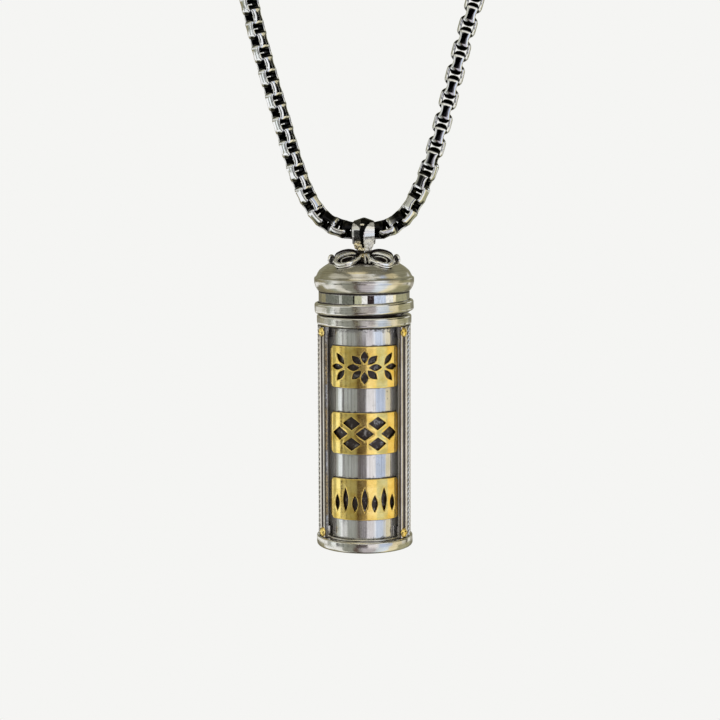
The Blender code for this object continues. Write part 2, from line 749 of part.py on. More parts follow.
def build_eye(parent, silver):
    nut_top = dome_top - DOME_WALL - SEAT_GAP
    nut_foot = nut_top - NUT_THICKNESS
    shank_foot = nut_foot - SHANK_TAIL
    shank_top = eye_centre - eye_r
    shank = [(0, shank_foot), (shank_r, shank_foot), (shank_r, shank_top), (0, shank_top)]
    eye = place("eye_bolt", spun(shank, SMALL_STEPS), silver, parent)
    loop = ring(eye_r, eye_wire_r, SMALL_STEPS, WIRE_SIDES)
    upright = Matrix.Translation((0, 0, eye_centre)) @ Matrix.Rotation(math.radians(90), 4, "X")
    bmesh.ops.transform(loop, matrix=upright, verts=loop.verts)
    combine(eye, operand("eye_loop", loop, silver, parent), "UNION")
    corner_r = NUT_WIDTH / 2 / math.cos(math.pi / NUT_SIDES)
    hole_r = shank_hole_r / math.cos(math.pi / NUT_SIDES)
    nut = [(hole_r, nut_foot), (corner_r, nut_foot), (corner_r, nut_top), (hole_r, nut_top)]
    place("eye_nut", spun(nut, NUT_SIDES), silver, parent)


def build_bail(parent, silver):
    """A seed-shaped band over the chain, narrowing to the bar that carries the eye."""
    root = bar_centre + bar_r + BAIL_EYE_ROOM
    line = belt(root, BAIL_EYE_ROOM, chain_centre, bail_r, BAIL_STEPS)
    sections = []
    for before, point, after in zip(line[-1:] + line, line, line[1:] + line[:1]):
        along = (after - before).normalized()
        out = Vector((along.y, -along.x))
        share = min(max((point.x - bar_centre - bar_r) / BAIL_FLARE, 0.0), 1.0)
        share = share * share * (3 - 2 * share)
        half = (BAIL_BAR_WIDTH + (BAIL_WIDTH - BAIL_BAR_WIDTH) * share) / 2
        edge = point + out * (BAIL_BAR_EDGE + (BAIL_EDGE - BAIL_BAR_EDGE) * share)
        ridge = point + out * (BAIL_BAR + (BAIL_RIDGE - BAIL_BAR) * share)
        sections.append([
            (-half, point.y, point.x), (half, point.y, point.x), (half, edge.y, edge.x),
            (0, ridge.y, ridge.x), (-half, edge.y, edge.x),
        ])
    place("bail", lofted(sections), silver, parent)


def build_chain(parent, steel):
    """The chain as a plain tube, its end rings and the hook that closes it."""
    hook_height = base_drop + HOOK_WIRE / 2
    left = arc((-HOOK_RADIUS, 0), HOOK_RADIUS, 360 - HOOK_OPENING, 0, HOOK_ARC_POINTS)
    right = arc((HOOK_RADIUS, 0), HOOK_RADIUS, 180, 540 - HOOK_OPENING, HOOK_ARC_POINTS)
    wire("chain_hook", [(x, y, hook_height) for x, y in left + right[1:]], HOOK_WIRE, steel, parent)
    tilt = math.radians(RING_TILT)
    from_hook = RING_RADIUS - HOOK_WIRE / 2 - RING_WIRE / 2 - LINK_GAP
    to_end = from_hook + RING_RADIUS + RING_WIRE / 2 + END_GAP
    ends = {}
    for side, way in (("left", -1), ("right", 1)):
        lean = Vector((way * math.cos(tilt), 0, -math.sin(tilt)))
        seat = Vector((way * 2 * HOOK_RADIUS, 0, hook_height))
        shape = ring(RING_RADIUS, RING_WIRE / 2, RING_STEPS, WIRE_SIDES)
        place(f"end_ring_{side}", shape, steel, parent, at=seat + lean * from_hook, turn=(90, 0, 0))
        ends[side] = seat + lean * to_end
    route = [Vector((x, 0, chain_centre + z)) for x, z in CHAIN_ROUTE]
    line = smooth_line([ends["left"], *route, ends["right"]], CHAIN_STEP)
    wire("chain", line, CHAIN_DIAMETER, steel, parent)


def main():
    clear_scene()
    brushed = finish("brushed_silver", (0.62, 0.60, 0.52), 0.34)
    polished = finish("polished_silver", (0.74, 0.74, 0.72), 0.16)
    gold = finish("gold", (0.86, 0.62, 0.22), 0.24)
    steel = finish("polished_steel", (0.66, 0.67, 0.68), 0.12)
    brass = finish("brass", (0.72, 0.55, 0.26), 0.3)
    paper = finish("paper", (0.82, 0.74, 0.58), 0.8, metallic=0.0)

    hanging_point = pivot("hanging_point", base_drop)
    bail_axis = pivot("bail_axis", chain_centre, hanging_point)
    lid_axis = pivot("lid_axis", bar_centre, bail_axis)
    frame_axis = pivot("frame_axis", collar_top, lid_axis)
    drum_axis = pivot("drum_axis", drum_foot, frame_axis)

    build_chain(hanging_point, steel)
    build_bail(bail_axis, polished)
    build_lid(lid_axis, brushed)
    build_flower(lid_axis, polished)
    build_eye(lid_axis, polished)
    pierced = {"base": build_base(frame_axis, brushed), "collar": build_collar(frame_axis, brushed)}
    for side, angle in PLATE_SIDES.items():
        pierced[side] = build_side_plate(side, angle, frame_axis, brushed)
    build_rope_wires(frame_axis, polished)
    build_rivets(frame_axis, gold, pierced)
    build_bushes(frame_axis, lid_axis, brass)
    build_drum(drum_axis, polished, brass, paper)
    build_plaques(drum_axis, gold)


main()
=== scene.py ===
"""Looks of a prayer-wheel pendant on a box chain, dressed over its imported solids.

Sizes are millimetres in the frame's own axes, and become metres when a mesh is made.
"""

import math

import bmesh
import bpy
from mathutils import Matrix, Vector, noise


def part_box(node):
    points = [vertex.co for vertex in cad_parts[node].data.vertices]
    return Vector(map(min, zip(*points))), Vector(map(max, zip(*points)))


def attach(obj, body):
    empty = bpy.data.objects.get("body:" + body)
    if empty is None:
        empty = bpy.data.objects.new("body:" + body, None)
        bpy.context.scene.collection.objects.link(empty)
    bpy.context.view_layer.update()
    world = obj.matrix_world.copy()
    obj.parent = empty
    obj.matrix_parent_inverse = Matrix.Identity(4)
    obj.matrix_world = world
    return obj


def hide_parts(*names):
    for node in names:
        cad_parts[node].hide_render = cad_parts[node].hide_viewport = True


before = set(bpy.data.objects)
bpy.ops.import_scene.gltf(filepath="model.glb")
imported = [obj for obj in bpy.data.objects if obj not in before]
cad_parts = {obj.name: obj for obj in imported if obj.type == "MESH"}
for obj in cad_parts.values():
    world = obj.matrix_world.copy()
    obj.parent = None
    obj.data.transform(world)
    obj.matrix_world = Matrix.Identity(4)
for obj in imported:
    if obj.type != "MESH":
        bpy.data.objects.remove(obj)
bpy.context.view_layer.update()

MM = 0.001
MERGE = 1e-7

# Camera at the photograph's viewing angle, with its clips in metres
CAMERA_AZIMUTH = 4.0
CAMERA_ELEVATION = 7.0
CAMERA_ROLL = 0.2
CAMERA_DISTANCE = 250.0
CLIP_START = 0.01
CLIP_END = 20.0
SENSOR = 36.0
VIEW_WIDTH = 100.1
AIM_RIGHT = -0.6
AIM_HEIGHT = -77.5

# Studio: rings of upright cards round the object, one above the other, a ceiling and a floor
BACKGROUND = (0.913, 0.913, 0.896)
AMBIENT = (0.7, 0.7, 0.7)
CARD_RADIUS = 900.0
CARD_STEPS = 8
CARD_GAP = 1.0
FLOOR_HEIGHT = -700.0
FLOOR_SIZE = 8000.0
TABLE_RADIUS = 240.0
TABLE_STEPS = 64
CEILING_HEIGHT = 870.0
BLACK = (0.004, 0.004, 0.004)
WHITE = (1.1, 1.1, 1.1)
DARK = (0.03, 0.028, 0.026)
OLIVE = (0.30, 0.29, 0.20)
# A card's first bearing, seen from above with 0 to the front and 90 to the right, and its light.
DRUM_CARDS = (
    (-180, (0.55, 0.54, 0.50)), (-152, WHITE), (-97, (0.42, 0.43, 0.39)), (-84, (1.10, 1.15, 1.15)),
    (-69, (0.07, 0.06, 0.06)), (-62, (0.36, 0.38, 0.35)), (-51, (0.12, 0.12, 0.11)),
    (-48, (0.40, 0.42, 0.39)), (-38, (0.20, 0.20, 0.19)), (-35, (0.33, 0.34, 0.31)),
    (-18, (0.06, 0.04, 0.04)), (10, (1.10, 1.05, 1.08)), (38, (0.58, 0.68, 0.92)),
    (72, (0.90, 0.78, 0.52)), (104, (0.85, 0.82, 0.74)), (119, (0.08, 0.07, 0.06)),
    (127, (1.10, 1.10, 1.05)), (142, (0.55, 0.53, 0.48)),
)
LATHE_CARDS = (
    (-180, (0.24, 0.22, 0.15)), (-132, (0.34, 0.31, 0.19)), (-95, (0.40, 0.42, 0.34)),
    (-76, (1.10, 1.10, 1.08)), (-52, (0.36, 0.37, 0.33)), (-24, (0.14, 0.10, 0.08)),
    (-12, (0.34, 0.33, 0.34)), (-5, (0.64, 0.60, 0.66)), (31, (0.90, 0.98, 1.10)),
    (63, (1.05, 0.94, 0.64)), (91, (0.44, 0.42, 0.26)), (140, (0.26, 0.25, 0.18)),
)
FOOT_CARDS = (*LATHE_CARDS[:2], (-112, WHITE), *LATHE_CARDS[4:])
CHAIN_CARDS = (
    (-180, OLIVE), (-130, (0.80, 0.80, 0.78)), (-26, BLACK), (30, WHITE), (60, BLACK), (124, WHITE),
    (150, OLIVE),
)
MIDDLE_CARDS = ((-180, OLIVE), (-100, (0.60, 0.60, 0.50)), (-20, WHITE), (62, BLACK), (116, OLIVE))
HIGH_CARDS = (
    (-180, OLIVE), (-100, (0.62, 0.60, 0.50)), (-20, (1.00, 0.96, 0.84)), (50, (0.55, 0.62, 0.78)),
    (72, (0.85, 0.76, 0.50)), (104, OLIVE),
)
# The rings of cards from the floor to the ceiling, each with its top.
CARD_RINGS = (
    ("foot_card", FOOT_CARDS, -330.0),
    ("low_card", LATHE_CARDS, -302.0),
    ("drum_card", DRUM_CARDS, -172.0),
    ("lathe_card", LATHE_CARDS, -50.0),
    ("chain_card", CHAIN_CARDS, 165.0),
    ("middle_card", MIDDLE_CARDS, 330.0),
    ("high_card", HIGH_CARDS, CEILING_HEIGHT),
)
CEILING = (0.21, 0.20, 0.15)
# Lamps in the ceiling: light, and corners across and towards the back.
LAMPS = (
    ("front_lamp", (1.05, 1.02, 0.94), (-450.0, -780.0), (40.0, -330.0)),
    ("right_lamp", (0.85, 0.85, 0.82), (40.0, -780.0), (420.0, -330.0)),
    ("warm_lamp", (0.95, 0.84, 0.54), (-390.0, -330.0), (40.0, 60.0)),
)
# Small cards that the neck mirrors, and their lower and upper edges, (radius, height).
NECK_CARDS = (
    (-110, (0.20, 0.21, 0.18)), (-62, (0.60, 0.62, 0.58)), (-54, (0.18, 0.19, 0.16)), (-24, BLACK),
    (-20, (0.60, 0.60, 0.42)), (-2, WHITE), (12, (0.02, 0.01, 0.01)), (29, (0.72, 0.82, 1.05)), (60, WHITE),
)
NECK_CARD_EDGES = ((880.0, -158.0), (880.0, -140.0))
NECK_CARD_END = 82

# Facets and dents of the round pieces
TURN_STEPS = 192
EDGE_STEPS = 6
SLAB_STEPS = 24
CURVE_STEPS = 12
WIRE_SIDES = 12
BEAD_SIDES = 24
SHARP_ANGLE = 38.0
DENT_SIZE = 3.0

# Finishes: the ranges of noise or painted shade that are spread over a colour, a roughness or a darkening
WIDE_NOISE = (0.3, 0.7)
MIDDLE_NOISE = (0.35, 0.65)
PATCH_NOISE = (0.35, 0.7)
MARK_NOISE = (0.62, 0.3)
PIT_NOISE = (0.2, 0.8)
SPECK_PITS = (0.70, 0.76)
SPECK_PATCHES = (0.40, 0.60)
DARKENING_SPAN = (0.2, 0.75)
DARKENING_START = (0.02, 0.2)
DARKENING_ROUGH = 0.22
DARKENING_DEPTH = 0.8
PATCH_SIZE = 2.6
PIT_SIZE = 0.22
MARK_COLOUR = (0.30, 0.29, 0.26)
# The colour that painted shade and dark specks turn silver to.
SHADE_AND_SPECK_COLOUR = (0.045, 0.034, 0.031)
# How wide the painted shade is in the crease between two pieces.
CREASE = 0.2

# Chain of box links
LINK_PITCH = 1.67
LINK_LENGTH = 2.5
LINK_BULGE = 0.4
BULGE_POWER = 8
LINK_STRIP = 0.38
LINK_WIDE = 1.76
LINK_WAIST = 1.28
LINK_CROWN = 0.11
LINK_SQUARE = 7.0
LINK_STEPS = 40
LINK_SIDES = 18
# Painted dark reflections and shade on a link: where they start and how far they take to be full, by the way
# that the strip faces.
END_FACE_SHADE = (0.55, 0.3)
TOP_FACE_SHADE = (0.35, 0.3)
UNDER_FACE_SHADE = (0.3, 0.25)
FRONT_FACE_SHADE = (0.74, 0.12)
FRONT_REACH = 0.75
# Painted shade across a link's strip: on its inside, on the middle of its face and beside that.
STRIP_INSIDE = -0.3
STRIP_MIDDLE = 0.5
STRIP_FLANK = 0.7
FLANK_SHADE = 0.62
LEFT_ROLL = 45.0
ROLL_END = 14.0
PATH_STEP = 0.5
# The chain's middle line from the left strand to the right, (across, above the bail).
CHAIN_ROUTE = (
    (-7.172, 58.571), (-9.8, 57.4), (-12.9, 55.2), (-15.9, 51.6), (-17.4, 46.6), (-17.5, 41.4),
    (-16.7, 36.4), (-15.75, 32.1), (-14.45, 26.6), (-12.95, 21.0), (-11.35, 15.5),
    (-9.75, 9.9), (-8.05, 5.3), (-6.2, 2.3), (-4.5, 0.95), (-2.4, 0.2),
    (0.0, 0.0),
    (2.4, 0.2), (4.2, 0.95), (6.0, 2.5), (7.8, 5.7), (9.4, 9.9),
    (11.0, 15.5), (12.4, 21.0), (13.85, 26.6), (15.4, 32.1), (16.55, 36.4),
    (17.3, 41.4), (17.4, 46.6), (15.9, 51.6), (12.9, 55.2), (9.8, 57.4), (7.172, 58.571),
)
HANG_RISE = 59.6
HOOK_WIRE = 0.9
HOOK_RADIUS = 2.0
HOOK_OPENING = 70.0
HOOK_STEPS = 30
HOOK_TIP = 0.72
HOOK_TAPER = 0.08
RING_WIRE = 0.8
RING_SPLIT = 5.0
RING_STEPS = 64

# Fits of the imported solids
SEAT_GAP = 0.08
THREAD_GAP = 0.1

# Frame: base, collar, side plates, rope wires and rivets
FRAME_DENT = 0.03
BASE_FOOT_ROUND = 0.45
BASE_TOP_ROUND = 0.2
# Painted shade in the crease at the base's step: how far below and above it reaches.
BASE_SHADE_FOOT = 0.02
BASE_SHADE_TOP = 0.05
STEP_RISE = 0.22
BUSH_RADIUS = 0.95
BUSH_DEPTH = 0.55
LUG_THICKNESS = 0.3
LUG_HALF_ANGLE = 32.0
LUG_HEIGHT = 1.6
LUG_SET_BACK = 0.02
COLLAR_OVERHANG = 0.1
COLLAR_ROUND = 0.3
# Painted shade at the collar's foot, over the side plates.
COLLAR_SHADE = 0.16
THREAD_PITCH = 0.32
THREAD_DEPTH = 0.12
PLATE_HALF_ANGLE = 34.0
PLATE_THICKNESS = 0.6
PLATE_ROWS = 48
PLATE_POINTS = 150
PLATE_EDGE_SHARES = (0.2, 0.26, 0.4, 0.5)
PLATE_FACE_SHARE = 0.45
# Painted shade in a side plate's grooves and on its walls.
GROOVE_SHADE = 0.09
GROOVE_SHADE_FADE = 0.04
WALL_SHADE = 0.42
LINING = 0.05
LINING_GAP = 0.02
RIM_BEAD = 0.48
RIM_ROUND = 0.1
GROOVE_WIDTH = 0.56
GROOVE_DEPTH = 0.2
CHANNEL_WIDTH = 0.7
CHANNEL_DEPTH = 0.34
BAND_DEPTH = 0.02
BAND_DROP = 0.07
BAND_DROP_WIDTH = 0.1
ROPE_FROM_EDGE = 2.14
# Painted shade between the rope's strands.
ROPE_SHADE = 0.15
ROPE_SHADE_FADE = 0.07
STRAND_RADIUS = 0.115
STRAND_OFFSET = 0.1
STRAND_PITCH = 1.33
STRAND_STEPS = 14
STRAND_SIDES = 8
RIVET_WIDE = 0.57
RIVET_TALL = 0.65
RIVET_DEEP = 0.46
RIVET_TIP = 2
RIVET_RIM = 96
RIVET_ROWS = 14
RIVET_NECK = 0.06
RIVET_SHANK = 0.22
RIVET_SHANK_LENGTH = 0.8
RIVET_DENT = 0.03
RIVET_GRAIN = 2.2

# Drum and its plaques
DRUM_WALL = 0.45
DRUM_TURN = 4.0
DRUM_ROWS = 150
DRUM_DENT = 0.012
# Painted shade on the drum: beside a plaque, under it and at the ends, how far each fades, and its ragged
# edge.
BESIDE_PLAQUE_SHADE = 0.9
BESIDE_FADE = 0.22
UNDER_PLAQUE_SHADE = 0.8
UNDER_INSET = 0.2
DRUM_END_SHADE = 0.55
END_FADE = 1.2
DRUM_RIPPLES = ((0.35, 1.7), (0.25, 5.0))
FAR_AWAY = 9.0
PLAQUE_HALF_ANGLE = 56.0
PLAQUE_RELIEF = 0.4
PLAQUE_CORNER = 0.8
PLAQUE_CORNER_STEPS = 8
PLAQUE_BEVEL = 0.07
PLAQUE_STRIPS = 40
# Painted shade on a plaque, darkest at the foot of its relief.
PLAQUE_SHADE = 1.15
PLAQUE_SHADE_SHARE = 0.8
PIERCING = 0.5
LEAF_STEPS = 16
# Leaves as shares of a plaque's height: how far out they start, their length and their width.
ROSETTE_LEAF = (0.1, 0.3, 0.16)
ROSETTE_TURN = 45
SPRIG_LEAF = (0.08, 0.34, 0.14)
SPRIG_ANGLES = (38, 90, 142)
SPRIG_PLACE = 0.23
LOTUS_LENGTHS = (0.6, 0.42)
LOTUS_FOOT = 0.31
LOTUS_PARTS = 8

# Lid: neck, ring, dome, flower cap and eye
NECK_WALL = 0.6
NECK_ROWS = 12
NECK_SEAM = 0.1
PLUG_FLOOR = 0.9
PLUG_LEAD = 0.1
SPIGOT_STEP = 0.4
RING_ROUND = 0.3
RING_TILT = -1.8
RING_DENT = 0.04
DOME_WALL = 0.6
DOME_STEP = 0.08
DOME_DENT = 0.05
SHANK_RADIUS = 0.5
SHANK_STEPS = 48
# The dome's outline, (radius, rise over its foot): belly, crest bead and cone.
DOME_BELLY = ((6.33, 0.0), (6.56, 0.27), (6.77, 0.66), (6.88, 1.05), (6.92, 1.38), (6.91, 1.72))
CREST_ROUND = 0.2
CREST_LIFT = 0.02
CREST_ANGLES = (6, 84)
DOME_CONE = (
    (6.60, 2.10), (6.42, 2.46), (6.20, 2.80), (5.82, 3.14), (5.38, 3.46), (5.02, 3.68), (4.72, 3.80),
)
# Where the dome's top and its ceiling bend, (radius, drop below the top or below the wall).
DOME_TOP = ((3.2, 0.08), (1.65, 0.0))
DOME_INSIDE = (3.9, 0.15)
# Painted shade on the dome under the flower: its reach, fade, depth and ragged edge. The hem's painted shade
# has its own.
DOME_SHADE_REACH = 5.15
DOME_SHADE_FADE = 0.8
DOME_SHADE_DROP = 0.7
DOME_RIPPLE = (0.4, 1.3)
DOME_HEM = 0.08
# A petal's wire from the hub round and back: (to the side, to the front, rise over the dome).
PETAL = (
    (0.35, 1.5, 0.95), (0.6, 2.6, 0.58), (1.0, 3.6, 0.34), (1.95, 4.45, -0.02), (3.15, 4.2, -0.26),
    (3.82, 3.55, -0.02), (3.68, 2.8, 0.48), (2.85, 2.1, 0.9), (1.8, 1.4, 1.06), (0.66, 0.86, 0.86),
)
BACK_LIFT = 0.25
PETAL_WIRE = 0.27
PETAL_STEP = 0.09
LEAF_SHARE = 0.6
LEAF_WIRE = 0.09
LEAF_SHEET = (1.0, 0.8, 0.5, 0.2, 0.06)
LEAF_SINK = 0.3
LEAF_THICKNESS = 0.08
SKIRT_FIRST = 2
SKIRT_LAST = 6
SKIRT_SPREAD = 1.06
SKIRT_DROP = 0.34
SKIRT_WIRE = 0.11
FLOWER_TURN = 4.0
# Wires thin to a share of their radius at each end, over one part in so many of their length.
WIRE_TIP = 0.65
WIRE_TIP_PART = 6
# Painted shade on the wires: away from the light and near the hub, and how far each fades.
UPWARD_LIGHT = 0.8
UNLIT = 0.5
UNLIT_FADE = 0.3
HUB_SHADE = 1.9
HUB_SHADE_FADE = 0.5
# A prong in the middle of the front: (to the side, to the front, rise over the dome).
PRONG = ((0.0, 1.6, 1.0), (0.02, 2.3, 0.66), (0.06, 3.3, 0.3), (0.1, 4.3, -0.1))
PRONG_PLACES = (0.08, 0.62)
PRONG_WIRE = 0.2
# A curl on each side, turned a little to the front.
CURL_REACH = 4.5
CURL_RISE = 0.12
CURL_TALL = 0.62
CURL_WIDE = 0.55
CURL_TURN = 35.0
CURL_WIRE = 0.19
CURL_STEPS = 36
CURL_ROOM = 0.4
# How dark the painted shade is on the curls' sheets.
CURL_SHADE = 0.5
HUB = ((3.6, 0.02), (2.8, 0.38), (2.0, 0.66), (1.3, 0.86), (0.9, 0.94))
HUB_STEPS = 64
HUB_DENT = 0.1
HUB_DENT_SIZE = 0.8
BED_RIPPLE = (0.4, 2.5)
# One of the two crossed wires of the knot: (to the side, to the front, rise over the dome).
KNOT = ((-0.5, 1.42, 1.04), (0.0, 1.85, 0.86), (0.5, 2.2, 0.55))
KNOT_MIDDLE = 0.08
KNOT_WIRE = 0.17
EYE_RADIUS = 0.81
EYE_WIRE = 0.26
EYE_STEPS = 60
# Painted shade on the eye's lower half and shank.
EYE_SHADE = 0.8
EYE_SHADE_FADE = 0.3

# Bail
BAIL_EYE_ROOM = 0.4
BAIL_BAR = 0.48
BAIL_BAR_HALF = 0.17
BAIL_BAR_EDGE = 0.3
BAIL_HOLD = 0.08
BAIL_RADIUS = 1.36
BAIL_HALF = 1.55
BAIL_RIDGE = 0.56
BAIL_EDGE = 0.08
BAIL_INSET = 0.02
BAIL_SPREAD = (0.2, 0.24)
BAIL_STEP = 0.05
BAIL_POINTS = 36
BAIL_CROWN_STEPS = 40
BAIL_ROOT_STEPS = 20
BAIL_TAPER = 0.14
BAIL_TAPER_END = 70.0
# The diamond facet cut across the ridge: its middle and half height in degrees from the top, and its depth.
FACET_ANGLE = 44.0
FACET_SPREAD = 32.0
FACET_CUT = 0.22
RIDGE_CUT = 0.05
# Painted dark reflections on the bail: the dark area's edges, (degrees from the top, share of the half
# width), and its painted glint, a spot left bright.
DARK_LEFT = ((34, 1.0), (41, 0.87), (75, 0.29), (140, 0.27))
DARK_RIGHT = ((30, 1.0), (38, 0.66), (58, 0.41), (76, 0.22), (91, 0.11), (106, 0.05), (140, 0.04))
GREY_END = 76.0
GREY_SHADE = 0.7
GLINT_LEFT = -0.22
GLINT_RIGHT = 0.06
GLINT_FIRST = 50.0
GLINT_LAST = 61.0
# The painted grey reflection on the left slope: its top over the chain, its height, and its sides as for the
# dark area.
GREY_TOP = 0.27
GREY_TALL = 1.7
GREY_LEFT = -0.9
GREY_RIGHT = -0.2
GREY_FADE = 0.1
# Solder on the bail's foot, (across, rise over the bar, to the front, size).
GILT_SOLDER = (
    (-1.0, 0.42, 1.0, 0.34), (-0.55, 0.3, 1.06, 0.36), (-0.92, 0.06, 0.92, 0.32), (-0.5, -0.18, 1.04, 0.31),
    (-0.1, -0.28, 1.1, 0.33),
)
WHITE_SOLDER = (
    (0.72, 0.74, 1.1, 0.5), (0.4, 0.7, 1.14, 0.42), (1.02, 0.66, 1.02, 0.42), (0.5, 0.3, 1.09, 0.44),
    (0.93, 0.28, 1.0, 0.4), (0.74, 0.15, 1.02, 0.38), (0.4, -0.2, 1.08, 0.35),
)
LUMP_UNEVEN = 0.2
LUMP_GRAIN = 1.6
LUMP_ROWS = 14
LUMP_POLE = 88


def mm_box(node):
    low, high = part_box(node)
    return low / MM, high / MM


def clamp(value):
    return min(max(value, 0.0), 1.0)


def ease(value):
    """A smooth step from 0 to 1."""
    value = clamp(value)
    return value * value * (3 - 2 * value)


def ramp(value, start, width):
    """A smooth step from 0 at the start to 1 a width further."""
    return ease((value - start) / width)


def ripple(point, size, grain):
    """Noise that makes the edge of a painted shade ragged."""
    return size * noise.noise(point * grain)


def spaced(start, end, steps):
    return [start + (end - start) * step / steps for step in range(steps + 1)]


def arc(centre, radius, start, end, steps):
    """Points on an arc, its angles in degrees."""
    angles = [math.radians(angle) for angle in spaced(start, end, steps)]
    return [(centre[0] + radius * math.cos(a), centre[1] + radius * math.sin(a)) for a in angles]


def circle(radius, count):
    """As many points round a circle."""
    return arc((0, 0), radius, 0, 360 - 360 / count, count - 1)


def around(radius, angle, height):
    """A point at an angle in degrees about the upright axis."""
    angle = math.radians(angle)
    return Vector((radius * math.cos(angle), radius * math.sin(angle), height))


def even_points(line, step):
    """Points about a step apart along a line of points."""
    reach = [0.0]
    for start, end in zip(line, line[1:]):
        reach.append(reach[-1] + (end - start).length)
    count = max(2, round(reach[-1] / step) + 1)
    found = []
    place = 0
    for wanted in spaced(0.0, reach[-1], count - 1):
        while place < len(line) - 2 and reach[place + 1] < wanted:
            place += 1
        share = (wanted - reach[place]) / (reach[place + 1] - reach[place])
        found.append(line[place].lerp(line[place + 1], share))
    return found


def smooth_line(points, step):
    """Even points along a smooth curve through the given points."""
    points = [2 * points[0] - points[1], *points, 2 * points[-1] - points[-2]]
    dense = []
    for a, b, c, d in zip(points, points[1:], points[2:], points[3:]):
        for t in spaced(0.0, 1.0, CURVE_STEPS)[:-1]:
            bend = (2 * a - 5 * b + 4 * c - d) * t + (3 * b - a - 3 * c + d) * t * t
            dense.append(b + (c - a + bend) * t / 2)
    dense.append(points[-2])
    return even_points(dense, step)


# Meshes: a shape is a list of points and a list of faces


def skin(rows, wrap_rows=False, wrap_points=True, capped=False):
    """A surface through rows of as many points."""
    count = len(rows[0])
    points = [Vector(point) for row in rows for point in row]
    faces = []
    for row in range(len(rows) if wrap_rows else len(rows) - 1):
        here = row * count
        there = (row + 1) % len(rows) * count
        for side in range(count if wrap_points else count - 1):
            after = (side + 1) % count
            faces.append((here + side, here + after, there + after, there + side))
    if capped:
        faces.append(tuple(reversed(range(count))))
        faces.append(tuple(range(len(points) - count, len(points))))
    return points, faces


def joined(shapes):
    points = []
    faces = []
    for more_points, more_faces in shapes:
        start = len(points)
        points += more_points
        faces += [tuple(start + corner for corner in face) for face in more_faces]
    return points, faces


def turned(profile, steps=TURN_STEPS, dent=0.0, dent_size=DENT_SIZE):
    """A closed outline of (radius, height) turned about the upright axis, hand-worked by small dents."""
    rows = []
    for step in range(steps):
        angle = 360 * step / steps
        row = []
        for radius, height in profile:
            point = around(radius, angle, height)
            swell = dent * noise.noise(point / dent_size) if dent else 0.0
            row.append(around(radius + swell, angle, height))
        rows.append(row)
    return skin(rows, wrap_rows=True)


def tube(line, radii, reference, sides=WIRE_SIDES, closed=False):
    """A wire along a line, with a radius at each point."""
    rows = []
    ends = (line[-1:] + line + line[:1]) if closed else (line[:1] + line + line[-1:])
    for before, point, after, radius in zip(ends, line, ends[2:], radii):
        along = (after - before).normalized()
        side = along.cross(reference).normalized()
        up = side.cross(along)
        rows.append([point + side * x + up * y for x, y in circle(radius, sides)])
    return skin(rows, wrap_rows=closed, capped=not closed)


def band(inner, outer, foot, top, edge):
    """The outline of a ring with rounded outer edges."""
    lower = arc((outer - edge, foot + edge), edge, -90, 0, EDGE_STEPS)
    upper = arc((outer - edge, top - edge), edge, 0, 90, EDGE_STEPS)
    wall = [(outer, height) for height in spaced(foot + edge, top - edge, EDGE_STEPS)[1:-1]]
    return [(inner, foot), *lower, *wall, *upper, (inner, top)]


def make_piece(name, shape, material, body, slot, nodes, painted_shade=None):
    """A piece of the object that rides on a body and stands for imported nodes."""
    points, faces = shape
    mesh = bpy.data.meshes.new(name)
    mesh.from_pydata([point * MM for point in points], [], faces)
    return dress_mesh(name, mesh, material, body, nodes, painted_shade)


def make_shaded(name, shaded, material, body, slot, nodes):
    """A piece of several shapes, each with its list of painted shade values."""
    shapes = [shape for shape, shades in shaded]
    painted_shade = [value for shape, shades in shaded for value in shades]
    return make_piece(name, joined(shapes), material, body, slot, nodes, painted_shade)


def dress_mesh(name, mesh, material, body, nodes, painted_shade=None):
    """The painted shade is a function of a point, or a list of one value for each point."""
    work = bmesh.new()
    work.from_mesh(mesh)
    bmesh.ops.remove_doubles(work, verts=work.verts, dist=MERGE)
    bmesh.ops.recalc_face_normals(work, faces=work.faces)
    work.to_mesh(mesh)
    work.free()
    shade = mesh.attributes.new("painted_shade", "FLOAT", "POINT")
    if callable(painted_shade):
        painted_shade = [clamp(painted_shade(point.co / MM)) for point in mesh.vertices]
    if painted_shade:
        shade.data.foreach_set("value", painted_shade)
    mesh.shade_smooth()
    mesh.set_sharp_from_angle(angle=math.radians(SHARP_ANGLE))
    mesh.materials.append(material)
    made = bpy.data.objects.new(name, mesh)
    bpy.context.scene.collection.objects.link(made)
    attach(made, body)
    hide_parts(*nodes)
    return made


# Materials


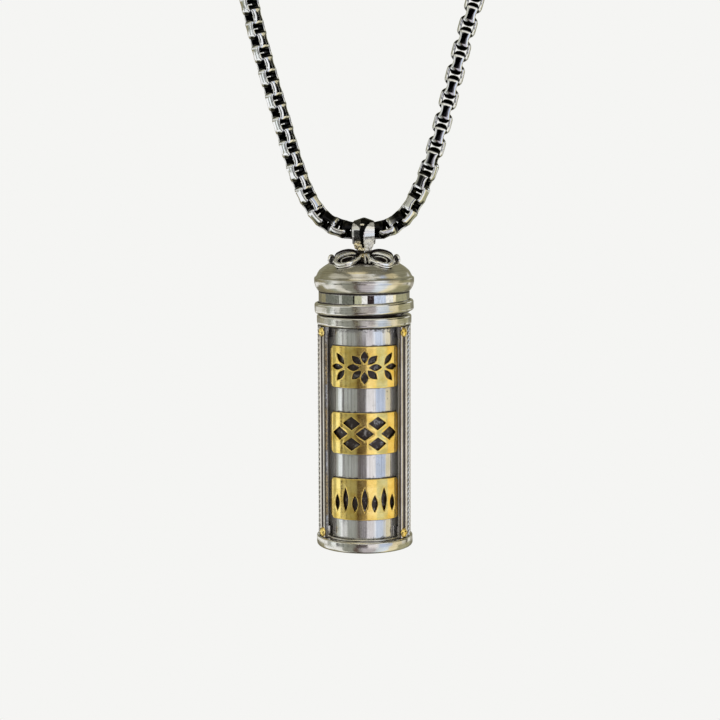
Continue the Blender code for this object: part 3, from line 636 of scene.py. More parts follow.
class Paint:
    """A procedural material, written as calls that return node sockets."""

    def __init__(self, name, metallic=1.0):
        self.material = bpy.data.materials.new(name)
        self.material.use_nodes = True
        self.tree = self.material.node_tree
        self.shader = self.tree.nodes["Principled BSDF"]
        self.shader.inputs["Metallic"].default_value = metallic
        self.place = self.add("ShaderNodeTexCoord", {}, "Object")

    def add(self, kind, inputs, output=0, **settings):
        made = self.tree.nodes.new(kind)
        for key, value in settings.items():
            setattr(made, key, value)
        for key, value in inputs.items():
            self.feed(made.inputs[key], value)
        return made.outputs[output]

    def feed(self, socket, value):
        if isinstance(value, bpy.types.NodeSocket):
            self.tree.links.new(value, socket)
        else:
            socket.default_value = value

    def grain(self, across, up, detail=2.0):
        """Noise whose grains are of these sizes in millimetres, across and up the object."""
        size = (1 / (across * MM), 1 / (across * MM), 1 / (up * MM))
        spot = self.add("ShaderNodeVectorMath", {0: self.place, 1: size}, operation="MULTIPLY")
        return self.add("ShaderNodeTexNoise", {"Vector": spot, "Scale": 1.0, "Detail": detail}, "Fac")

    def span(self, value, low, high, to_low=0.0, to_high=1.0):
        return self.add("ShaderNodeMapRange", {
            "Value": value, "From Min": low, "From Max": high, "To Min": to_low, "To Max": to_high})

    def maths(self, operation, a, b):
        return self.add("ShaderNodeMath", {0: a, 1: b}, operation=operation)

    def mix(self, share, a, b):
        colours = [value if isinstance(value, bpy.types.NodeSocket) else (*value, 1.0) for value in (a, b)]
        return self.add("ShaderNodeMix", {0: share, 6: colours[0], 7: colours[1]}, 2, data_type="RGBA")

    # Painted shade: each piece's darkening in creases, recesses and by facing, in place of shadow and dark
    # reflections.
    def painted_shade(self):
        return self.add("ShaderNodeAttribute", {}, "Fac", attribute_name="painted_shade")

    def finish(self, colour, roughness, height, depth):
        bump = {"Height": height, "Distance": depth * MM, "Strength": 1.0}
        self.feed(self.shader.inputs["Base Color"], colour)
        self.feed(self.shader.inputs["Roughness"], roughness)
        self.feed(self.shader.inputs["Normal"], self.add("ShaderNodeBump", bump, "Normal"))
        return self.material


def worn_silver(name, pale, warm, grain, roughness, depth, specks=0.5, shade_and_speck_colour=SHADE_AND_SPECK_COLOUR, metal=1.0, dull=0.35,
                ragged=0.25, marked=0.35):
    """Silver with fine tool marks, warm patches, dark specks and the painted shade that each piece carries.
    """
    paint = Paint(name)
    marks = paint.grain(*grain, detail=3.0)
    patches = paint.grain(PATCH_SIZE, PATCH_SIZE)
    pits = paint.grain(PIT_SIZE, PIT_SIZE, detail=1.0)
    colour = paint.mix(paint.span(patches, *PATCH_NOISE), pale, warm)
    colour = paint.mix(paint.span(marks, *MARK_NOISE, 0.0, marked), colour, MARK_COLOUR)
    speck = paint.maths("MULTIPLY", paint.span(pits, *SPECK_PITS), paint.span(patches, *SPECK_PATCHES))
    dark = paint.maths("MAXIMUM", paint.painted_shade(), paint.maths("MULTIPLY", speck, specks))
    uneven = paint.maths("ADD", dark, paint.span(pits, *PIT_NOISE, -ragged, ragged))
    darkening = paint.maths("MULTIPLY", paint.span(uneven, *DARKENING_SPAN), paint.span(dark, *DARKENING_START))
    colour = paint.mix(darkening, colour, shade_and_speck_colour)
    paint.feed(paint.shader.inputs["Metallic"], paint.span(darkening, 0.0, 1.0, metal, dull))
    rough = paint.span(marks, *WIDE_NOISE, *roughness)
    rough = paint.maths("ADD", rough, paint.maths("MULTIPLY", darkening, DARKENING_ROUGH))
    height = paint.maths("SUBTRACT", marks, paint.maths("MULTIPLY", darkening, DARKENING_DEPTH))
    return paint.finish(colour, rough, height, depth)


def clouded(name, marks, cloud, pale, deep, roughness, depth, darkening=None, swell=0.0, metallic=1.0):
    """Fine marks and clouds of two colours.

    A darkening is the span of painted shade that darkens, how ragged its edge is, and its colour.
    """
    paint = Paint(name, metallic)
    marks = paint.grain(*marks)
    cloud = paint.grain(cloud, cloud)
    colour = paint.mix(paint.span(cloud, *MIDDLE_NOISE), pale, deep)
    if darkening:
        span, ragged, dark = darkening
        shade = paint.painted_shade()
        if ragged:
            shade = paint.maths("ADD", shade, paint.span(cloud, *WIDE_NOISE, -ragged, ragged))
        colour = paint.mix(paint.span(shade, *span), colour, dark)
    height = paint.maths("ADD", marks, paint.maths("MULTIPLY", cloud, swell)) if swell else marks
    return paint.finish(colour, paint.span(marks, *WIDE_NOISE, *roughness), height, depth)


lathe_silver = worn_silver(
    "lathe_silver", (0.80, 0.79, 0.75), (0.62, 0.59, 0.48), (6.0, 0.05), (0.10, 0.20), 0.0007)
drum_silver = worn_silver(
    "drum_silver", (0.84, 0.84, 0.83), (0.74, 0.74, 0.70), (0.12, 9.0), (0.08, 0.18), 0.0016, specks=0.9,
    metal=0.84)
plate_silver = worn_silver(
    "plate_silver", (0.76, 0.72, 0.65), (0.58, 0.52, 0.43), (0.10, 6.0), (0.09, 0.22), 0.002)
mirror_silver = worn_silver(
    "mirror_silver", (0.86, 0.86, 0.85), (0.76, 0.74, 0.70), (0.3, 0.3), (0.04, 0.11), 0.002, specks=0.4)
# The bail's near-black colour is for its painted dark reflections and its few dark specks.
bail_silver = worn_silver(
    "bail_silver", (0.90, 0.90, 0.90), (0.84, 0.83, 0.81), (0.3, 0.3), (0.04, 0.10), 0.001, specks=0.2,
    shade_and_speck_colour=(0.008, 0.008, 0.008), metal=0.6, dull=1.0, ragged=0.05, marked=0.1)
# Its near-black colour is the flower's painted shade and its few dark specks.
frosted_silver = worn_silver(
    "frosted_silver", (0.98, 0.98, 0.97), (0.95, 0.94, 0.91), (2.0, 2.0), (0.10, 0.18), 0.001, specks=0.1,
    shade_and_speck_colour=(0.016, 0.011, 0.012), metal=0.88, dull=1.0, ragged=0.06, marked=0.06)
solder_silver = worn_silver(
    "solder_silver", (1.0, 0.99, 0.97), (0.98, 0.93, 0.72), (0.5, 0.5), (0.3, 0.45), 0.004, specks=0.2,
    metal=0.2, marked=0.1)
dome_silver = worn_silver(
    "dome_silver", (0.80, 0.79, 0.75), (0.60, 0.56, 0.46), (6.0, 0.05), (0.14, 0.24), 0.0007, marked=0.5)
matt_silver = worn_silver(
    "matt_silver", (0.97, 0.95, 0.93), (0.90, 0.87, 0.83), (0.10, 6.0), (0.45, 0.6), 0.002, metal=0.15)
neck_silver = worn_silver(
    "neck_silver", (0.84, 0.84, 0.82), (0.76, 0.75, 0.70), (0.3, 0.3), (0.02, 0.05), 0.0002, specks=0.3)
gilt_silver = worn_silver(
    "gilt_silver", (0.86, 0.78, 0.55), (0.66, 0.50, 0.20), (0.3, 0.3), (0.10, 0.24), 0.006, specks=0.6)
# The gold's dark brown is the painted shade of the plaques' piercings and the rivets' necks.
gold = clouded(
    "satin_gold", (1.4, 0.07, 2.0), 1.3, (1.0, 0.78, 0.27), (0.86, 0.61, 0.15), (0.10, 0.20), 0.002,
    darkening=((0.35, 0.85), 0.12, (0.05, 0.028, 0.016)), swell=3.0)
# The steel's near-black colour is the chain's painted dark reflections and shade.
steel = clouded(
    "polished_steel", (0.25, 0.25, 4.0), 1.5, (0.86, 0.87, 0.88), (0.74, 0.75, 0.76), (0.05, 0.12), 0.003,
    darkening=((0.3, 0.8), 0.0, (0.012, 0.012, 0.013)))
brass = clouded(
    "turned_brass", (2.0, 0.05, 3.0), 0.8, (0.72, 0.55, 0.26), (0.52, 0.36, 0.15), (0.2, 0.38), 0.006)
paper = clouded(
    "rolled_paper", (0.06, 0.3, 4.0), 1.4, (0.82, 0.74, 0.58), (0.68, 0.58, 0.41), (0.7, 0.9), 0.01,
    metallic=0.0)


# Chain


chain_height = mm_box("chain_hook")[0].z - HANG_RISE


def link_section(width):
    """Points round a strip with a crowned face: (out, to the side, inside, under, front).

    The last three are the painted shade of its inside, and the shares of painted shade that an under and a
    front face take.
    """
    section = []
    for out, side in circle(1.0, LINK_SIDES):
        across = math.copysign(abs(side) ** 0.5, side)
        thick = math.copysign(abs(out) ** 0.5, out) * LINK_STRIP / 2
        if out > 0:
            thick += LINK_CROWN * (1 - across * across)
        inside = 1.0 if out < STRIP_INSIDE else 0.0
        middle = 1.0 if abs(across) < STRIP_MIDDLE else 0.0
        flank = FLANK_SHADE if abs(across) < STRIP_FLANK else 0.0
        section.append((thick, across * width / 2, inside, middle, max(middle, flank)))
    return section


def link_shape(centre, along, turn_axis):
    """A strip bent into a square ring round turn_axis, narrower amid each side, and its painted dark
    reflections and shade by the way each face turns.
    """
    outward = turn_axis.cross(along)
    half = LINK_LENGTH / 2 - LINK_STRIP / 2 - LINK_CROWN
    rows = []
    painted_shade = []
    for step in range(LINK_STEPS):
        angle = math.tau * step / LINK_STEPS
        c = math.cos(angle)
        s = math.sin(angle)
        x = math.copysign(abs(c) ** (2 / LINK_SQUARE), c)
        y = math.copysign(abs(s) ** (2 / LINK_SQUARE), s)
        bulge = math.copysign(LINK_BULGE * (1 - y * y) * x ** BULGE_POWER, x)
        middle = centre + along * (x * half + bulge) + outward * y * half
        lean_x = math.copysign(abs(c) ** (2 - 2 / LINK_SQUARE), c)
        lean_y = math.copysign(abs(s) ** (2 - 2 / LINK_SQUARE), s)
        lean = (along * lean_x + outward * lean_y).normalized()
        width = LINK_WAIST + (LINK_WIDE - LINK_WAIST) * min(abs(x), abs(y)) ** 2
        # Painted dark reflections and shade on faces turned along the link, up, down, and to the front and
        # back.
        above = max(ramp(abs(lean.dot(along)), *END_FACE_SHADE), ramp(lean.z, *TOP_FACE_SHADE))
        below = ramp(-lean.z, *UNDER_FACE_SHADE)
        front = ramp(abs(lean.y), *FRONT_FACE_SHADE) if abs(x) < FRONT_REACH else 0.0
        row = []
        for out, side, inside, under, face in link_section(width):
            row.append(middle + lean * out + turn_axis * side)
            painted_shade.append(max(inside, above, below * under, front * face))
        rows.append(row)
    return skin(rows, wrap_rows=True), painted_shade


def build_chain():
    line = smooth_line([Vector((x, 0, chain_height + rise)) for x, rise in CHAIN_ROUTE], PATH_STEP)
    count = math.floor((len(line) - 1) * PATH_STEP / LINK_PITCH)
    lowest = min(point.z for point in line)
    forward = Vector((0, 1, 0))
    links = []
    for link in range(count):
        at = (link + 0.5) / count * (len(line) - 1)
        spot = int(at)
        centre = line[spot].lerp(line[min(spot + 1, len(line) - 1)], at - spot)
        before = line[max(spot - 2, 0)]
        after = line[min(spot + 3, len(line) - 1)]
        along = (after - before).normalized()
        roll = LEFT_ROLL
        if centre.x > 0:
            roll *= 1 - ease((centre.z - lowest) / ROLL_END)
        lean = math.radians(roll + 90 * (link % 2))
        turn_axis = along.cross(forward) * math.cos(lean) + forward * math.sin(lean)
        links.append(link_shape(centre, along, turn_axis))
    return make_shaded("chain_links", links, steel, "chain", "polished_steel", ["chain"]), line


def build_closure():
    """The hook and the end rings that close the chain."""
    low, high = mm_box("chain_hook")
    height = (low.z + high.z) / 2
    left = arc((-HOOK_RADIUS, 0), HOOK_RADIUS, 360 - HOOK_OPENING, 0, HOOK_STEPS)
    right = arc((HOOK_RADIUS, 0), HOOK_RADIUS, 180, 180 + 360 - HOOK_OPENING, HOOK_STEPS)
    line = [Vector((x, y, height)) for x, y in left + right[1:]]
    last = len(line) - 1
    ends = [min(step, last - step) for step in range(last + 1)]
    radii = [HOOK_WIRE / 2 * min(1.0, HOOK_TIP + HOOK_TAPER * end) for end in ends]
    shape = tube(line, radii, Vector((0, 0, 1)))
    pieces = [make_piece("closing_hook", shape, steel, "chain", "polished_steel", ["chain_hook"])]
    for side in ("left", "right"):
        node = f"end_ring_{side}"
        low, high = mm_box(node)
        middle = (low + high) / 2
        radius = (high.x - low.x) / 2 - RING_WIRE / 2
        turn = arc((0, 0), radius, 90 + RING_SPLIT / 2, 90 + 360 - RING_SPLIT / 2, RING_STEPS)
        line = [middle + Vector((x, 0, z)) for x, z in turn]
        shape = tube(line, [RING_WIRE / 2] * len(line), Vector((0, 1, 0)))
        pieces.append(make_piece(f"jump_ring_{side}", shape, steel, "chain", "polished_steel", [node]))
    return pieces


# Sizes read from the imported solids

base_low, base_high = mm_box("base_cup")
plate_low, plate_high = mm_box("side_plate_left")
collar_low, collar_high = mm_box("frame_collar")
drum_low, drum_high = mm_box("drum_shell")
neck_low, neck_high = mm_box("lid_neck")
ring_low, ring_high = mm_box("lid_ring")
dome_low, dome_high = mm_box("lid_dome")
eye_low, eye_high = mm_box("eye_bolt")
bush_low, bush_high = mm_box("lower_bush")

drum_r = drum_high.x
plate_r = collar_high.x - COLLAR_OVERHANG
plate_in_r = plate_r - PLATE_THICKNESS
lug_out_r = plate_in_r - SEAT_GAP
lug_in_r = lug_out_r - LUG_THICKNESS
plug_r = lug_in_r - THREAD_GAP
base_top = plate_low.z - SEAT_GAP
collar_foot = plate_high.z + SEAT_GAP
neck_top = dome_low.z - SEAT_GAP
eye_centre = eye_high.z - EYE_RADIUS - EYE_WIRE
bail_bar = eye_centre + EYE_RADIUS - EYE_WIRE - BAIL_HOLD - BAIL_BAR / 2


# Frame


def arc_slab(angle, half, inner, outer, foot, top):
    """A piece of a tube's wall."""
    outline = arc((0, 0), outer, angle - half, angle + half, SLAB_STEPS)
    outline += arc((0, 0), inner, angle + half, angle - half, SLAB_STEPS)
    return skin([[(x, y, height) for x, y in outline] for height in (foot, top)], capped=True)


def lugs(foot, top):
    """The tabs behind the side plates, which the rivets go into."""
    inner = lug_in_r + LUG_SET_BACK
    outer = lug_out_r - LUG_SET_BACK
    return [arc_slab(angle, LUG_HALF_ANGLE, inner, outer, foot, top) for angle in (0, 180)]


def thread(radius, depth, foot, top):
    """A screw thread's outline, from its foot up."""
    count = math.floor((top - foot) / THREAD_PITCH)
    outline = []
    for turn in range(count):
        start = foot + turn * THREAD_PITCH
        outline += [(radius, start), (radius + depth, start + THREAD_PITCH / 2)]
    return outline + [(radius, foot + count * THREAD_PITCH)]


def build_base():
    floor = bush_low.z + BUSH_DEPTH
    seat = BUSH_RADIUS + SEAT_GAP
    seat_floor = bush_low.z - SEAT_GAP
    radius = base_high.x
    foot_round = BASE_FOOT_ROUND
    top_round = BASE_TOP_ROUND
    lip = LUG_THICKNESS / 2
    outline = [(0.0, base_low.z)]
    outline += arc((radius - foot_round, base_low.z + foot_round), foot_round, -90, 0, EDGE_STEPS)
    outline += arc((radius - top_round, base_top - top_round), top_round, 0, 90, EDGE_STEPS)
    outline += [(lug_out_r, base_top)]
    outline += arc((lug_in_r + lip, base_top + STEP_RISE - lip), lip, 0, 180, 2 * EDGE_STEPS)
    outline += [(lug_in_r, floor), (seat, floor), (seat, seat_floor), (0.0, seat_floor)]
    shape = joined([turned(outline, dent=FRAME_DENT), *lugs(floor, base_top + LUG_HEIGHT)])

    # Painted shade in the crease beside the step, where the side plates stand.
    def painted_shade(point):
        reach = math.hypot(point.x, point.y) - lug_out_r
        on_step = base_top - BASE_SHADE_FOOT < point.z < base_top + BASE_SHADE_TOP
        return 1 - reach / CREASE if on_step and reach > -BASE_SHADE_FOOT else 0.0

    make_piece("base", shape, lathe_silver, "frame", "brushed_silver", ["base_cup"], painted_shade)


def build_collar():
    outline = band(lug_in_r, collar_high.x, collar_foot, collar_high.z, COLLAR_ROUND)
    bore = thread(lug_in_r, THREAD_DEPTH, collar_foot + THREAD_PITCH / 2, collar_high.z - THREAD_PITCH / 4)
    outline += reversed(bore)
    tabs = lugs(collar_foot - LUG_HEIGHT, collar_foot + COLLAR_ROUND)

    # Painted shade at the collar's foot.
    def painted_shade(point):
        return (collar_foot + COLLAR_SHADE - point.z) / CREASE

    shape = joined([turned(outline, dent=FRAME_DENT), *tabs])
    make_piece("collar", shape, lathe_silver, "frame", "brushed_silver", ["frame_collar"], painted_shade)


def bead(share):
    """The height of a half-round bead, from 0 at its edges to 1."""
    return math.sqrt(max(0.0, 1 - (2 * share - 1) ** 2))


def plate_depth(from_edge):
    """How far a side plate's face lies below its highest line."""
    if from_edge < RIM_BEAD:
        return RIM_ROUND * (1 - bead(from_edge / RIM_BEAD))
    inward = from_edge - RIM_BEAD
    if inward < GROOVE_WIDTH:
        return RIM_ROUND + (GROOVE_DEPTH - RIM_ROUND) * bead(inward / GROOVE_WIDTH)
    from_rope = abs(from_edge - ROPE_FROM_EDGE)
    wall = from_rope - CHANNEL_WIDTH / 2
    if wall > 0:
        return BAND_DEPTH + BAND_DROP * (1 - ease(wall / BAND_DROP_WIDTH))
    return RIM_ROUND + (CHANNEL_DEPTH - RIM_ROUND) * bead(0.5 + from_rope / CHANNEL_WIDTH)


def build_side_plate(side, angle):
    half = math.radians(PLATE_HALF_ANGLE) * plate_r
    outline = []
    for offset in spaced(-half, half, PLATE_POINTS):
        depth = plate_depth(half - abs(offset))
        outline.append((plate_r - depth, angle + math.degrees(offset / plate_r)))
    edge = [plate_r - share * PLATE_THICKNESS for share in PLATE_EDGE_SHARES]
    back_r = plate_in_r + LINING + LINING_GAP
    outline += [(radius, angle + PLATE_HALF_ANGLE) for radius in edge]
    outline += [(back_r, angle + turn) for turn in spaced(PLATE_HALF_ANGLE, -PLATE_HALF_ANGLE, SLAB_STEPS)]
    outline += [(radius, angle - PLATE_HALF_ANGLE) for radius in reversed(edge)]
    rows = [[around(radius, turn, height) for radius, turn in outline]
            for height in spaced(plate_low.z, plate_high.z, PLATE_ROWS)]

    # Painted shade: darker the deeper the face lies, and on the walls.
    def painted_shade(point):
        depth = plate_r - math.hypot(point.x, point.y)
        on_face = depth < PLATE_THICKNESS * PLATE_FACE_SHARE
        return (depth - GROOVE_SHADE) / GROOVE_SHADE_FADE if on_face else WALL_SHADE

    nodes = [f"side_plate_{side}"]
    plate = skin(rows, capped=True)
    make_piece(f"window_plate_{side}", plate, plate_silver, "frame", "brushed_silver", nodes, painted_shade)
    lining = arc_slab(angle, PLATE_HALF_ANGLE, plate_in_r, plate_in_r + LINING, plate_low.z, plate_high.z)
    make_piece(f"plate_lining_{side}", lining, matt_silver, "frame", "brushed_silver", nodes)


def build_rope(node):
    low, high = mm_box(node)
    middle = (low + high) / 2
    steps = round((high.z - low.z) / STRAND_PITCH * STRAND_STEPS)
    strands = []
    for start in (0.0, math.pi):
        line = []
        for height in spaced(low.z, high.z, steps):
            turn = start + math.tau * (height - low.z) / STRAND_PITCH
            line.append(Vector((middle.x + STRAND_OFFSET * math.cos(turn),
                                middle.y + STRAND_OFFSET * math.sin(turn), height)))
        strands.append(tube(line, [STRAND_RADIUS] * len(line), Vector((1, 0, 0)), sides=STRAND_SIDES))

    # Painted shade, darkest at the rope's core between its strands.
    def painted_shade(point):
        return (ROPE_SHADE - math.hypot(point.x - middle.x, point.y - middle.y)) / ROPE_SHADE_FADE

    name = node.replace("rope", "twisted")
    make_piece(name, joined(strands), mirror_silver, "frame", "polished_silver", [node], painted_shade)


def build_rivet(node):
    """An oval gold head on a round shank through the plate and its lug."""
    low, high = mm_box(node)
    middle = (low + high) / 2
    out = Vector((middle.x, middle.y, 0)).normalized()
    side = Vector((-out.y, out.x, 0))
    up = Vector((0, 0, 1))
    seat = out * plate_r + up * middle.z
    rows = []
    for angle in spaced(RIVET_TIP, RIVET_RIM, RIVET_ROWS):
        wide = math.sin(math.radians(angle))
        deep = math.cos(math.radians(angle))
        rows.append([seat + out * deep * RIVET_DEEP + side * x * RIVET_WIDE + up * y * RIVET_TALL
                     for x, y in circle(wide, BEAD_SIDES)])
    for deep in (-RIVET_NECK, -RIVET_SHANK_LENGTH):
        rows.append([seat + out * deep + side * x + up * y for x, y in circle(RIVET_SHANK, BEAD_SIDES)])
    rows = [[point + out * RIVET_DENT * noise.noise(point * RIVET_GRAIN) for point in row] for row in rows]

    # Painted shade where the head meets the plate.
    def painted_shade(point):
        return (plate_r + RIVET_NECK - point.dot(out)) / CREASE

    name = node.replace("rivet", "gold_rivet")
    make_piece(name, skin(rows, capped=True), gold, "frame", "gold", [node], painted_shade)


# Drum


def plaque_nodes():
    return [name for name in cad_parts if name.startswith("plaque_")]


def build_drum():
    outline = [(drum_r, height) for height in spaced(drum_low.z, drum_high.z, DRUM_ROWS)]
    outline += [(drum_r - DRUM_WALL, drum_high.z), (drum_r - DRUM_WALL, drum_low.z)]
    places = []
    for name in plaque_nodes():
        low, high = mm_box(name)
        places.append((name.endswith("front"), low.z, high.z))
    half = math.radians(PLAQUE_HALF_ANGLE) * drum_r
    lean = math.radians(DRUM_TURN)
    forward = Vector((math.sin(lean), -math.cos(lean)))

    # Painted shade under and beside the plaques, so that the piercings read dark, and at the drum's ends by
    # the frame.
    def painted_shade(point):
        front = point.y < 0
        way = forward if front else -forward
        beside = abs(Vector((point.x, point.y)).angle_signed(way)) * drum_r - half
        nearest = FAR_AWAY
        for on_front, foot, top in places:
            if on_front == front:
                above = abs(point.z - (foot + top) / 2) - (top - foot) / 2
                nearest = min(nearest, max(beside, above))
        ragged = sum(ripple(point, size, grain) for size, grain in DRUM_RIPPLES)
        plaque = BESIDE_PLAQUE_SHADE - nearest / BESIDE_FADE if nearest > -UNDER_INSET else UNDER_PLAQUE_SHADE
        ends = min(point.z - drum_low.z, drum_high.z - point.z)
        return max(plaque + ragged, DRUM_END_SHADE - ends / END_FADE + ragged)

    shape = turned(outline, dent=DRUM_DENT)
    make_piece("drum_skin", shape, drum_silver, "drum", "polished_silver", ["drum_shell"], painted_shade)


def leaf(foot, length, width, angle):
    """A hole with the outline of a leaf that grows from its foot, leaning from upright."""
    sides = [(width / 2 * math.sin(math.pi * t), length * t) for t in spaced(0.0, 1.0, LEAF_STEPS)]
    outline = sides + [(-x, y) for x, y in reversed(sides[1:-1])]
    lean = Matrix.Rotation(math.radians(-angle), 2)
    return [tuple(Vector(foot) + lean @ Vector(point)) for point in outline]


def panel(width, height):
    x = width / 2 - PLAQUE_CORNER
    y = height / 2 - PLAQUE_CORNER
    outline = []
    for turn, corner in ((0, (x, y)), (90, (-x, y)), (180, (-x, -y)), (270, (x, -y))):
        outline += arc(corner, PLAQUE_CORNER, turn, turn + 90, PLAQUE_CORNER_STEPS)
    return outline


def polar(radius, angle):
    return radius * math.cos(math.radians(angle)), radius * math.sin(math.radians(angle))


def rosette_holes(width, height):
    """A flower of eight petals between two sprigs."""
    holes = []
    start, length, breadth = (height * share for share in ROSETTE_LEAF)
    for angle in range(0, 360, ROSETTE_TURN):
        holes.append(leaf(polar(start, 90 - angle), length, breadth, angle))
    start, length, breadth = (height * share for share in SPRIG_LEAF)
    for way in (-1, 1):
        for angle in SPRIG_ANGLES:
            x, y = polar(start, 90 - angle)
            holes.append(leaf((way * (width * SPRIG_PLACE + x), y), length, breadth, way * angle))
    return holes


def lattice_holes(width, height):
    """Lozenges between crossing bands."""
    across = width / 6
    up = height / 4
    half_x = across - PIERCING
    half_y = up - PIERCING
    holes = []
    for column in range(-2, 3):
        for row in (-1, 0, 1):
            if (column + row) % 2 == 0:
                x = column * across
                y = row * up
                holes.append([(x + half_x, y), (x, y + half_y), (x - half_x, y), (x, y - half_y)])
    return holes


def lotus_holes(width, height):
    """A border of upright petals, tall and short in turn."""
    holes = []
    pitch = width / LOTUS_PARTS
    for place in range(-3, 4):
        length = height * LOTUS_LENGTHS[place % 2]
        holes.append(leaf((place * width / LOTUS_PARTS, -height * LOTUS_FOOT), length, pitch - PIERCING, 0))
    return holes


DESIGNS = {"rosette": rosette_holes, "lattice": lattice_holes, "lotus": lotus_holes}


def pierced_sheet(outlines):
    """A flat sheet with holes and rounded edges, as a mesh in millimetres from 0 to the plaque's relief."""
    curve = bpy.data.curves.new("sheet", "CURVE")
    curve.dimensions = "2D"
    curve.fill_mode = "BOTH"
    curve.extrude = PLAQUE_RELIEF / 2 - PLAQUE_BEVEL
    curve.bevel_depth = PLAQUE_BEVEL
    curve.bevel_resolution = 2
    curve.offset = -PLAQUE_BEVEL
    for outline in outlines:
        spline = curve.splines.new("POLY")
        spline.points.add(len(outline) - 1)
        spline.use_cyclic_u = True
        for knot, (x, y) in zip(spline.points, outline):
            knot.co = (x, y, PLAQUE_RELIEF / 2, 1.0)
    holder = bpy.data.objects.new("sheet", curve)
    mesh = bpy.data.meshes.new_from_object(holder)
    bpy.data.objects.remove(holder)
    bpy.data.curves.remove(curve)
    return mesh


def build_plaque(node):
    design, column = node.split("_")[1:]
    low, high = mm_box(node)
    width = 2 * math.radians(PLAQUE_HALF_ANGLE) * drum_r
    height = high.z - low.z
    middle = (low.z + high.z) / 2
    mesh = pierced_sheet([panel(width, height), *DESIGNS[design](width, height)])
    sheet = bmesh.new()
    sheet.from_mesh(mesh)
    near = MERGE / MM
    bmesh.ops.remove_doubles(sheet, verts=sheet.verts, dist=near)
    for x in spaced(-width / 2, width / 2, PLAQUE_STRIPS)[1:-1]:
        everything = sheet.verts[:] + sheet.edges[:] + sheet.faces[:]
        bmesh.ops.bisect_plane(sheet, geom=everything, dist=near, plane_co=(x, 0, 0), plane_no=(1, 0, 0))
    turn = DRUM_TURN - 90 + (180 if column == "back" else 0)
    for point in sheet.verts:
        radius = drum_r + SEAT_GAP + point.co.z
        angle = turn + math.degrees(point.co.x / drum_r)
        point.co = around(radius, angle, middle + point.co.y) * MM
    sheet.to_mesh(mesh)
    sheet.free()

    # Painted shade in the piercings: darker towards the foot of the relief.
    def painted_shade(point):
        rise = math.hypot(point.x, point.y) - drum_r - SEAT_GAP
        return PLAQUE_SHADE - rise / (PLAQUE_RELIEF * PLAQUE_SHADE_SHARE)

    dress_mesh(f"gold_plaque_{design}_{column}", mesh, gold, "drum", [node], painted_shade)


# Lid


def build_neck():
    seat = BUSH_RADIUS + SEAT_GAP
    spigot = neck_high.x - SPIGOT_STEP
    cup = plug_r - NECK_WALL
    core = plug_r - THREAD_DEPTH
    floor = neck_low.z + PLUG_FLOOR
    outline = [(seat, neck_low.z), (core, neck_low.z)]
    outline += thread(core, THREAD_DEPTH, neck_low.z + PLUG_LEAD, collar_high.z)
    outline += [(core, ring_low.z), (neck_high.x, ring_low.z)]
    outline += [(neck_high.x, height) for height in spaced(ring_low.z, neck_top, NECK_ROWS)[1:]]
    outline += [(spigot, neck_top), (spigot, neck_high.z), (cup, neck_high.z), (cup, floor), (seat, floor)]

    # Painted shade on the neck inside the ring and at its seams with the ring and the dome.
    def painted_shade(point):
        if point.z < ring_high.z - NECK_SEAM:
            return 1.0
        return 1 - min(point.z - ring_high.z, neck_top - point.z) / NECK_SEAM

    make_piece("neck", turned(outline), neck_silver, "lid", "brushed_silver", ["lid_neck"], painted_shade)


def build_lid_ring():
    inner = neck_high.x + SEAT_GAP
    outline = band(inner, ring_high.x, ring_low.z, ring_high.z, RING_ROUND)
    points, faces = turned(outline, dent=RING_DENT)
    middle = Vector((0, 0, (ring_low.z + ring_high.z) / 2))
    tilt = Matrix.Rotation(math.radians(RING_TILT), 3, "Y")
    shape = [middle + tilt @ (point - middle) for point in points], faces

    # Painted shade in the ring's bore, where it meets the neck.
    def painted_shade(point):
        return 1 - (math.hypot(point.x, point.y) - inner) / CREASE

    make_piece("lid_band", shape, lathe_silver, "lid", "brushed_silver", ["lid_ring"], painted_shade)


def build_dome():
    foot = dome_low.z
    belly, cone = (smooth_line([Vector((radius, 0, foot + rise)) for radius, rise in outline], DOME_STEP)
                   for outline in (DOME_BELLY, DOME_CONE))
    crest = (belly[-1].x - CREST_ROUND, belly[-1].z + CREST_LIFT)
    hole = SHANK_RADIUS + SEAT_GAP
    top = dome_high.z
    ceiling = top - DOME_WALL
    socket = neck_high.x - SPIGOT_STEP + SEAT_GAP
    outline = [(point.x, point.z) for point in belly]
    outline += arc(crest, CREST_ROUND, *CREST_ANGLES, 2 * EDGE_STEPS)
    outline += [(point.x, point.z) for point in cone]
    outline += [(radius, top - drop) for radius, drop in DOME_TOP]
    outline += [(hole, top), (hole, ceiling), (DOME_INSIDE[0], ceiling - DOME_INSIDE[1])]
    outline += [(socket, neck_high.z + SEAT_GAP), (socket, foot)]

    # Painted shade under the flower and at the hem over the neck.
    def painted_shade(point):
        reach = math.hypot(point.x, point.y)
        under = (DOME_SHADE_REACH - reach) / DOME_SHADE_FADE + ripple(point, *DOME_RIPPLE)
        hem = 1 - (point.z - foot) / DOME_HEM
        return max(under if point.z > top - DOME_SHADE_DROP else 0.0, hem)

    shape = turned(outline, dent=DOME_DENT)
    make_piece("dome", shape, dome_silver, "lid", "brushed_silver", ["lid_dome"], painted_shade)


def flower_turn(angle=FLOWER_TURN):
    return Matrix.Rotation(math.radians(angle), 3, "Z")


def flower_line(points, side, front, lift=0.0):
    """A smooth line through points of a quarter of the flower, mirrored to a side and to front or back."""
    turn = flower_turn()
    line = [turn @ Vector((side * x, -front * y, dome_high.z + rise + lift)) for x, y, rise in points]
    return smooth_line(line, PETAL_STEP)


